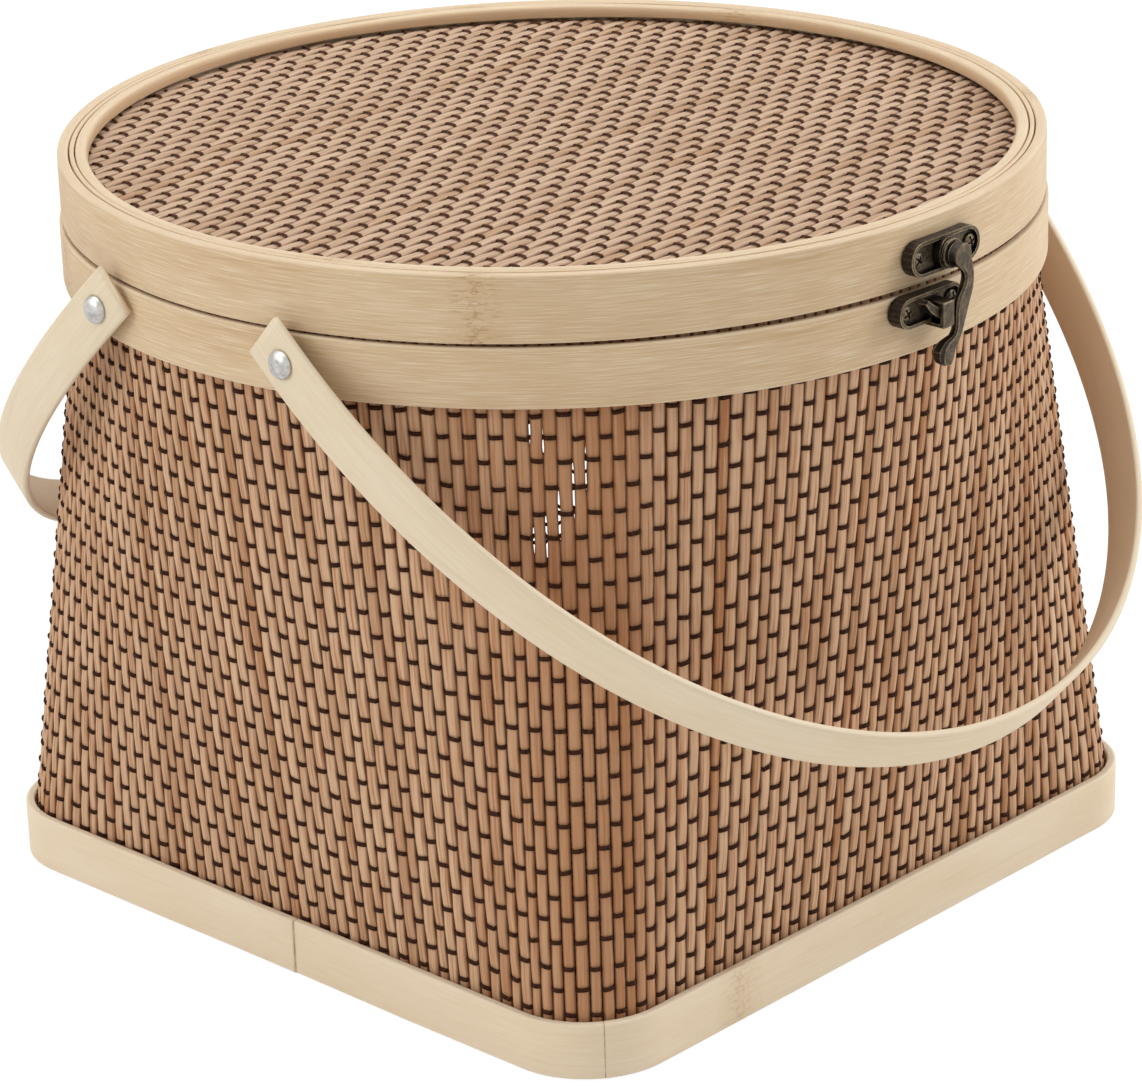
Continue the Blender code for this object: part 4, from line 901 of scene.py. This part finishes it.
# Hoops
def hoop(name, node, body, loop, low, high, thickness, skin, knots, seed, ease=HOOP_EASE,
         steps=HOOP_STEPS, inner_ease=None, wobble=HOOP_WOBBLE, seams=(), splits=(), tight=0.0):
    """A bent bamboo hoop along loop(share, inset), with rounded edges and a hand-planed wobble.

    A seam is where the strip's end laps over its start, and a split is a fine crack, both as a
    share of the hoop's length.
    `tight` is how far the lower edge comes down where the lid sits closest on the rim."""
    inner_ease = inner_ease or ease
    profile = rounded_section((
        (ease, high - ease, ease, 90),
        (ease, low + ease, ease, 180),
        (thickness - ease, low + ease, ease, 270),
        (thickness - inner_ease, high - inner_ease, inner_ease, 0),
    ), 3)
    marks = [np.mod(spot - HOOP_START, 1.0) for spot in (*knots, *seams, *splits)]
    marks += [np.mod(spot - HOOP_START - SEAM_EDGE, 1.0) for spot in seams]
    turn = np.unique(np.concatenate([np.arange(steps) / steps, marks]))
    share = HOOP_START + turn
    steps = len(share)
    sway = np.abs(smooth_noise(steps, HOOP_WOBBLE_REACH, seed + 1) * wobble)[:, None]
    along = lengths(loop(np.append(share, HOOP_START + 1.0), np.zeros(steps + 1)))
    along, total = along[:-1], along[-1]

    def past(spot):
        """How far on from a spot each ring of the hoop lies."""
        place = np.interp(np.mod(spot - HOOP_START, 1.0), turn, along)
        return np.mod(along - place + 1e-9, total)

    def nearest(spots):
        """How far each ring is from the nearest spot, and 1 where there is none."""
        gaps = [np.minimum(past(spot), total - past(spot)) for spot in spots]
        return np.min([np.ones(steps), *gaps], axis=0)[:, None]

    sunk = np.zeros(steps)
    for spot in seams:
        sunk = np.maximum(sunk, SEAM_STEP * np.clip(1 - past(spot) / SEAM_FADE, 0, 1))
    share = share[:, None]
    off = np.mod(share - LID_TIGHT_SHARE + 0.5, 1.0) - 0.5
    closer = tight * np.exp(-(off / LID_TIGHT_SPREAD) ** 4)
    inset, height = profile.T
    outside = np.clip(1 - inset / thickness, 0, 1)
    points = np.empty((steps, len(profile), 3))
    points[..., :2] = loop(share, inset + sunk[:, None] * outside)
    points[..., 2] = height + np.where(height > (low + high) / 2, -sway, sway - closer)
    cut = (height > high - CUT_DEPTH) | (height < low + CUT_DEPTH)
    obj = new_mesh(
        name, points, tube_faces(1, steps, len(profile), closed=True),
        run=lengths_map(along, lengths(profile)), knot=nearest(knots),
        seam=nearest((*seams, *splits)), edge=cut, inner=~cut & (inset > thickness * INNER_SIDE),
    )
    finish_piece(obj, skin, body, "bamboo_hoop", node)


def circle_loop(radius):
    def loop(share, inset):
        angle = share * 2 * math.pi - math.pi / 2
        return np.stack([np.cos(angle), np.sin(angle)], -1) * (radius - inset)[..., None]
    return loop


def square_loop(start):
    def loop(share, inset):
        return foot_point(share, inset + start)
    return loop


def round_hoop(name, node, body, low, high, thickness, **rest):
    """A hoop as wide as its CAD piece's box."""
    hoop(name, node, body, circle_loop(float(high[0])), low[2], high[2], thickness, HOOP_SKIN, **rest)


round_hoop("rim_hoop_outer", "rim_band_outer", "basket", RIM_LOW, RIM_HIGH, RIM_THICKNESS,
           knots=(0.12, 0.42, 0.66), seed=41, wobble=FACE_WOBBLE)
round_hoop("rim_hoop_inner", "rim_band_inner", "basket", RIM_IN_LOW, RIM_IN_HIGH, RIM_INNER_THICKNESS,
           knots=(0.2, 0.7), seed=42)
round_hoop("lid_hoop_face", "lid_hoop_outer", "lid", LID_LOW, LID_HIGH, LID_OUTER_PLY,
           knots=(0.14, 0.51, 0.848), seed=43, wobble=FACE_WOBBLE, tight=LID_SEAM * LID_TIGHT)
round_hoop("lid_hoop_core", "lid_hoop_middle", "lid", PLY_LOW, PLY_HIGH, LID_MIDDLE_PLY,
           knots=(0.4,), seed=44, ease=PLY_EASE)
round_hoop("lid_ring_top", "lid_ring_upper", "lid", RING_LOW, RING_HIGH, LID_INNER_PLY,
           knots=(0.3, 0.8), seed=45, ease=RING_EASE, inner_ease=RING_INNER_EASE)
round_hoop("lid_ring_under", "lid_ring_lower", "lid", UNDER_LOW, UNDER_HIGH, LID_INNER_PLY,
           knots=(0.1, 0.6), seed=46)
hoop("foot_hoop_outer", "base_band_outer", "basket", square_loop(0.0), BASE_LOW[2], BASE_HIGH[2],
     BASE_THICKNESS, BASE_SKIN, knots=(0.25, 0.47, 0.9316), seed=47, steps=FOOT_STEPS,
     seams=(SEAM_SHARE,), splits=(SPLIT_SHARE,))
hoop("foot_hoop_inner", "base_band_inner", "basket", square_loop(BASE_HALF - float(FOOT_HIGH[0])),
     FOOT_LOW[2], FOOT_HIGH[2], FOOT_THICKNESS, BASE_SKIN, knots=(0.3, 0.8), seed=48,
     steps=FOOT_STEPS)


# Handles
def strap(name, node, body, side):
    """A bent bamboo strap on its pivot, with rounded edges, hung as the CAD strap hangs."""
    joint = next(joint for joint in frame["joints"] if joint["child"] == body)
    pivot = Vector(joint["pos_m"])
    corners = [corner.co for corner in frame["nodes"][node].data.vertices]
    middle = [corner for corner in corners if abs(corner.x) < STRAP_WIDTH / 2]
    reach = sum(middle, Vector()) / len(middle) - pivot
    tilt = math.atan2(-reach.z, side * reach.y)
    angle = np.linspace(0, math.pi, STRAP_STEPS + 1)
    bow = HANDLE_SPREAD + (HANDLE_DROP - HANDLE_SPREAD) * np.sin(angle) ** 2
    bow -= HANDLE_PINCH * np.sin(2 * angle) ** 2
    line = np.stack([bow * np.cos(angle), bow * np.sin(angle)], -1)
    tails = HANDLE_TAIL * np.linspace(1, 0, STRAP_TAIL_STEPS + 1)[:-1]
    spread = np.full(STRAP_TAIL_STEPS, HANDLE_SPREAD)
    line = np.concatenate([
        np.stack([spread, -tails], -1), line, np.stack([-spread, -tails[::-1]], -1),
    ])
    forward = unit(np.gradient(line, axis=0))
    out = np.stack([forward[:, 1], -forward[:, 0]], -1)
    half_width, half_thick, ease = STRAP_WIDTH / 2, STRAP_THICKNESS / 2, STRAP_EASE
    profile = rounded_section([
        (wide * (half_width - ease), thick * (half_thick - ease), ease, start)
        for wide, thick, start in ((1, 1, 0), (-1, 1, 90), (-1, -1, 180), (1, -1, 270))
    ], 2)
    points = np.empty((len(line), len(profile), 3))
    points[..., :2] = line[:, None, :] + out[:, None, :] * profile[:, 1, None]
    points[..., 2] = profile[:, 0]
    turn = np.array(Matrix.Rotation(-tilt if side > 0 else math.pi + tilt, 3, "X"))
    points = points @ turn.T + np.array(pivot)
    length = lengths(line)
    cut = np.abs(profile[:, 0]) > half_width - ease / 2
    obj = new_mesh(
        name, points, tube_faces(1, len(line), len(profile)),
        run=lengths_map(length, lengths(profile)), edge=cut,
        knot=np.abs(length - length[-1] * STRAP_KNOT)[:, None], seam=1.0,
        inner=~cut & (profile[:, 1] < 0),
    )
    finish_piece(obj, STRAP_SKIN, body, "bamboo_strap", node)


strap("strap_front", "handle_front", "front_handle", -1)
strap("strap_back", "handle_back", "back_handle", 1)


# Metal
def metal(names, skin, bevel=0.0):
    """CAD pieces that keep their shapes, with a material and perhaps eased edges."""
    for name in names:
        obj = NODES[name]
        obj.data.materials.clear()
        obj.data.materials.append(skin)
        if bevel:
            ease = obj.modifiers.new("ease", "BEVEL")
            ease.width = bevel
            ease.segments = 2
            ease.limit_method = "ANGLE"
            ease.angle_limit = math.radians(METAL_EASE_DEG)
            ease.harden_normals = True


def dome(radius, height, base, steps=10):
    """Half of a low dome, as (radius, height) rows from its edge to its top."""
    turn = np.linspace(0, math.pi / 2, steps)
    return [(max(radius * math.cos(a), DOME_TIP), base + height * math.sin(a)) for a in turn]


def turned(name, node, body, slot, skin, axis, profile, cross=0.0, pivot=None):
    """A piece turned about an axis, from (radius, height) rows.

    The axis runs through the middle of the CAD piece's box, and the piece replaces that CAD piece.
    With a pivot it runs through that, and the CAD piece stays. Heights are above the box's outer
    face, so most are below zero. `cross` is the angle of a screw's cross slot."""
    sides = TURNED_SIDES
    low, high = np.array(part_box(node))
    axis = np.array(axis, float)
    face = (low + high) / 2 + axis * abs(float((high - low) @ axis)) / 2
    if pivot is not None:
        pivot = np.array(pivot)
        face = pivot + axis * float((face - pivot) @ axis)
    across = np.array([axis[1], -axis[0], 0.0])
    beside = np.cross(axis, across)
    angle = np.arange(sides) / sides * 2 * math.pi
    ring = np.cos(angle)[:, None] * across + np.sin(angle)[:, None] * beside
    radius, height = (np.array(values)[:, None] for values in zip(*profile))
    lift = np.broadcast_to(height, (len(height), sides)).copy()
    if cross:
        u, v = radius * np.cos(angle - cross), radius * np.sin(angle - cross)
        half_wide, half_long = SCREW_SLOT_WIDTH / 2, SCREW_SLOT_LENGTH / 2
        upright = (np.abs(u) < half_wide) & (np.abs(v) < half_long)
        level = (np.abs(v) < half_wide) & (np.abs(u) < half_long)
        lift = lift - SCREW_SLOT_DEPTH * ((upright | level) & (lift > -SCREW_HEAD_HEIGHT))
    points = face + ring[None] * radius[..., None] + axis * lift[..., None]
    obj = new_mesh(name, points, tube_faces(1, len(profile), sides))
    obj.data.set_sharp_from_angle(angle=math.radians(TURNED_CREASE_DEG))
    finish_piece(obj, skin, body, slot, *([] if pivot is not None else [node]))


def hook_head():
    """The hook's flange, neck and head, drawn round over the CAD hook's facets."""
    neck = -HOOK_HEAD_LENGTH - HOOK_NECK_LENGTH
    half_ease = HOOK_EASE / 2
    flange = [
        (HOOK_FLANGE_RADIUS, neck - HOOK_FLANGE_THICKNESS), (HOOK_FLANGE_RADIUS, neck - half_ease),
        (HOOK_FLANGE_RADIUS - half_ease, neck), (HOOK_NECK_RADIUS, neck),
        (HOOK_NECK_RADIUS, -HOOK_HEAD_LENGTH), (HOOK_HEAD_RADIUS, -HOOK_HEAD_LENGTH),
    ]
    corner = dome(HOOK_EASE, HOOK_EASE, -HOOK_EASE, 5)
    cap = [(HOOK_HEAD_RADIUS - HOOK_EASE + radius, height) for radius, height in corner]
    cap += [(HOOK_HEAD_RADIUS * HOOK_FACE_SHARE, -HOOK_EASE / 8), (HOOK_EASE, -HOOK_EASE / 8)]
    profile = [(radius + HOOK_COVER, height + HOOK_COVER) for radius, height in flange + cap]
    pivot = next(joint["pos_m"] for joint in frame["joints"] if joint["name"] == "clasp_pivot")
    turned("hook_head_turned", "clasp_arm", "clasp_hook", "antique_bronze", BRONZE_SKIN, (0, -1, 0),
           profile, pivot=pivot)


def rivet(node):
    """A rivet with a domed head outside and a flat tail inside."""
    low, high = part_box(node)
    end = -(high[0] - low[0]) + RIVET_TAIL_HEIGHT
    profile = [
        (RIVET_RADIUS, end - RIVET_TAIL_HEIGHT), (RIVET_TAIL_RADIUS, end - RIVET_TAIL_HEIGHT / 2),
        (RIVET_TAIL_RADIUS, end), (RIVET_RADIUS, end), (RIVET_RADIUS, -RIVET_HEAD_HEIGHT),
    ]
    profile += dome(RIVET_HEAD_RADIUS, RIVET_HEAD_HEIGHT, -RIVET_HEAD_HEIGHT)
    side = (1, 0, 0) if low[0] > 0 else (-1, 0, 0)
    turned(node + "_turned", node, "basket", "rivet_aluminium", ALUMINIUM_SKIN, side, profile)


def screw(node, cross):
    """A small screw with a domed head and a cross slot."""
    low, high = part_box(node)
    profile = [(SCREW_RADIUS, low[1] - high[1]), (SCREW_RADIUS, -SCREW_HEAD_HEIGHT)]
    profile += dome(SCREW_HEAD_RADIUS, SCREW_HEAD_HEIGHT, -SCREW_HEAD_HEIGHT, 16)
    body = "lid" if "lid" in node or node.startswith("clasp") else "basket"
    side = (0, -1, 0) if low[1] < 0 else (0, 1, 0)
    turned(node + "_turned", node, body, "antique_bronze", BRONZE_SKIN, side, profile, cross=cross)


NODES = frame["nodes"]
PLATES = [n for n in NODES if n.startswith(("clasp_", "catch_", "hinge_")) and "screw" not in n]
metal([n for n in NODES if n.startswith(("spacer_", "burr_"))], ALUMINIUM_SKIN)
metal(PLATES, BRONZE_SKIN, METAL_EASE)
hook_head()
for node in [n for n in NODES if n.startswith("rivet_")]:
    rivet(node)
for count, node in enumerate(n for n in NODES if "screw" in n):
    screw(node, cross=0.5 + count)


# Studio
FLOOR_SIZE = 12
FLOOR_DROP = 0.0002
FLOOR_GREY = (0.92, 0.92, 0.92, 1.0)
FLOOR_GLOW = 1.08
FLOOR_GLOW_SHARE = 0.85
SKY_COLOUR = (1.0, 0.985, 0.96, 1.0)
SKY_STRENGTH = 0.42
WHITE = (1.0, 1.0, 1.0, 1.0)
WHITE_STRENGTH = 1.05
LAMP_TARGET = (0, 0, 0.08)
# Each lamp: name, place, size, watts
LAMPS = (
    ("key", (1.35, -0.95, 1.0), (1.1, 1.1), 18.5),
    ("fill", (-1.45, 0.5, 1.0), (1.2, 1.2), 10),
    ("top", (-0.1, 0.3, 1.9), (1.3, 1.3), 16),
)


def floor():
    """A pale floor that keeps a soft shadow and looks white to the camera and to metal."""
    skin, shader = shader_tree("floor", 0.9)
    n = Nodes(skin)
    shader.inputs["Base Color"].default_value = FLOOR_GREY
    glow = n.add("ShaderNodeEmission")
    glow.inputs["Color"].default_value = WHITE
    glow.inputs["Strength"].default_value = FLOOR_GLOW
    mix = n.add("ShaderNodeMixShader")
    n.link(n.times(n.seen_white(), FLOOR_GLOW_SHARE), mix.inputs["Fac"])
    n.link(shader.outputs[0], mix.inputs[1])
    n.link(glow.outputs[0], mix.inputs[2])
    n.link(mix.outputs[0], n.tree.nodes["Material Output"].inputs["Surface"])
    bpy.ops.mesh.primitive_plane_add(size=FLOOR_SIZE, location=(0, 0, -FLOOR_DROP))
    plane = bpy.context.object
    plane.name = "floor"
    plane.data.materials.append(skin)
    plane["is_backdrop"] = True


def world():
    """Soft light from all round, and white where the camera or metal sees past the floor."""
    scene = bpy.context.scene
    scene.world = scene.world or bpy.data.worlds.new("studio")
    scene.world.use_nodes = True
    n = Nodes(scene.world)
    n.tree.nodes.clear()
    mix = n.add("ShaderNodeMixShader")
    n.link(n.seen_white(), mix.inputs["Fac"])
    for slot, colour, strength in ((1, SKY_COLOUR, SKY_STRENGTH), (2, WHITE, WHITE_STRENGTH)):
        background = n.add("ShaderNodeBackground")
        background.inputs["Color"].default_value = colour
        background.inputs["Strength"].default_value = strength
        n.link(background.outputs[0], mix.inputs[slot])
    n.link(mix.outputs[0], n.add("ShaderNodeOutputWorld").inputs["Surface"])
    scene.view_settings.view_transform = "Standard"


def light(name, place, size, power):
    """A soft rectangular lamp that points at the basket."""
    lamp = bpy.data.lights.new(name, "AREA")
    lamp.shape = "RECTANGLE"
    lamp.size, lamp.size_y = size
    lamp.energy = power
    obj = bpy.data.objects.new(name, lamp)
    obj.location = place
    obj.rotation_euler = (Vector(LAMP_TARGET) - Vector(place)).to_track_quat("-Z", "Y").to_euler()
    bpy.context.scene.collection.objects.link(obj)


def camera():
    """The photograph's camera, worked out from the basket's edges in the picture."""
    azimuth, elevation, roll = (math.radians(a) for a in (-46.13, 21.328, -1.760))
    unit_length = 0.115
    shift_right, shift_up, distance = (s * unit_length for s in (-0.00513, 0.60453, 9.6775))
    focal_pixels, picture_width, sensor_width = 4489.63, 1142, 36.0
    back = Vector((
        math.sin(azimuth) * math.cos(elevation),
        -math.cos(azimuth) * math.cos(elevation),
        math.sin(elevation),
    ))
    right = Vector((math.cos(azimuth), math.sin(azimuth), 0.0))
    up = back.cross(right)
    right_turned = right * math.cos(roll) + up * math.sin(roll)
    up_turned = up * math.cos(roll) - right * math.sin(roll)
    place = right_turned * shift_right + up_turned * shift_up + back * distance
    lens = bpy.data.cameras.new("photo_camera")
    lens.sensor_fit = "HORIZONTAL"
    lens.sensor_width = sensor_width
    lens.lens = sensor_width * focal_pixels / picture_width
    obj = bpy.data.objects.new("photo_camera", lens)
    turn = Matrix((right_turned, up_turned, back)).transposed()
    obj.matrix_world = Matrix.Translation(place) @ turn.to_4x4()
    bpy.context.scene.collection.objects.link(obj)
    bpy.context.scene.camera = obj


floor()
world()
for lamp in LAMPS:
    light(*lamp)
camera()

boxes = {"cad": cad_box, "visual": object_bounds()}
{k: [list(map(float, corner)) for corner in box] for k, box in boxes.items()}
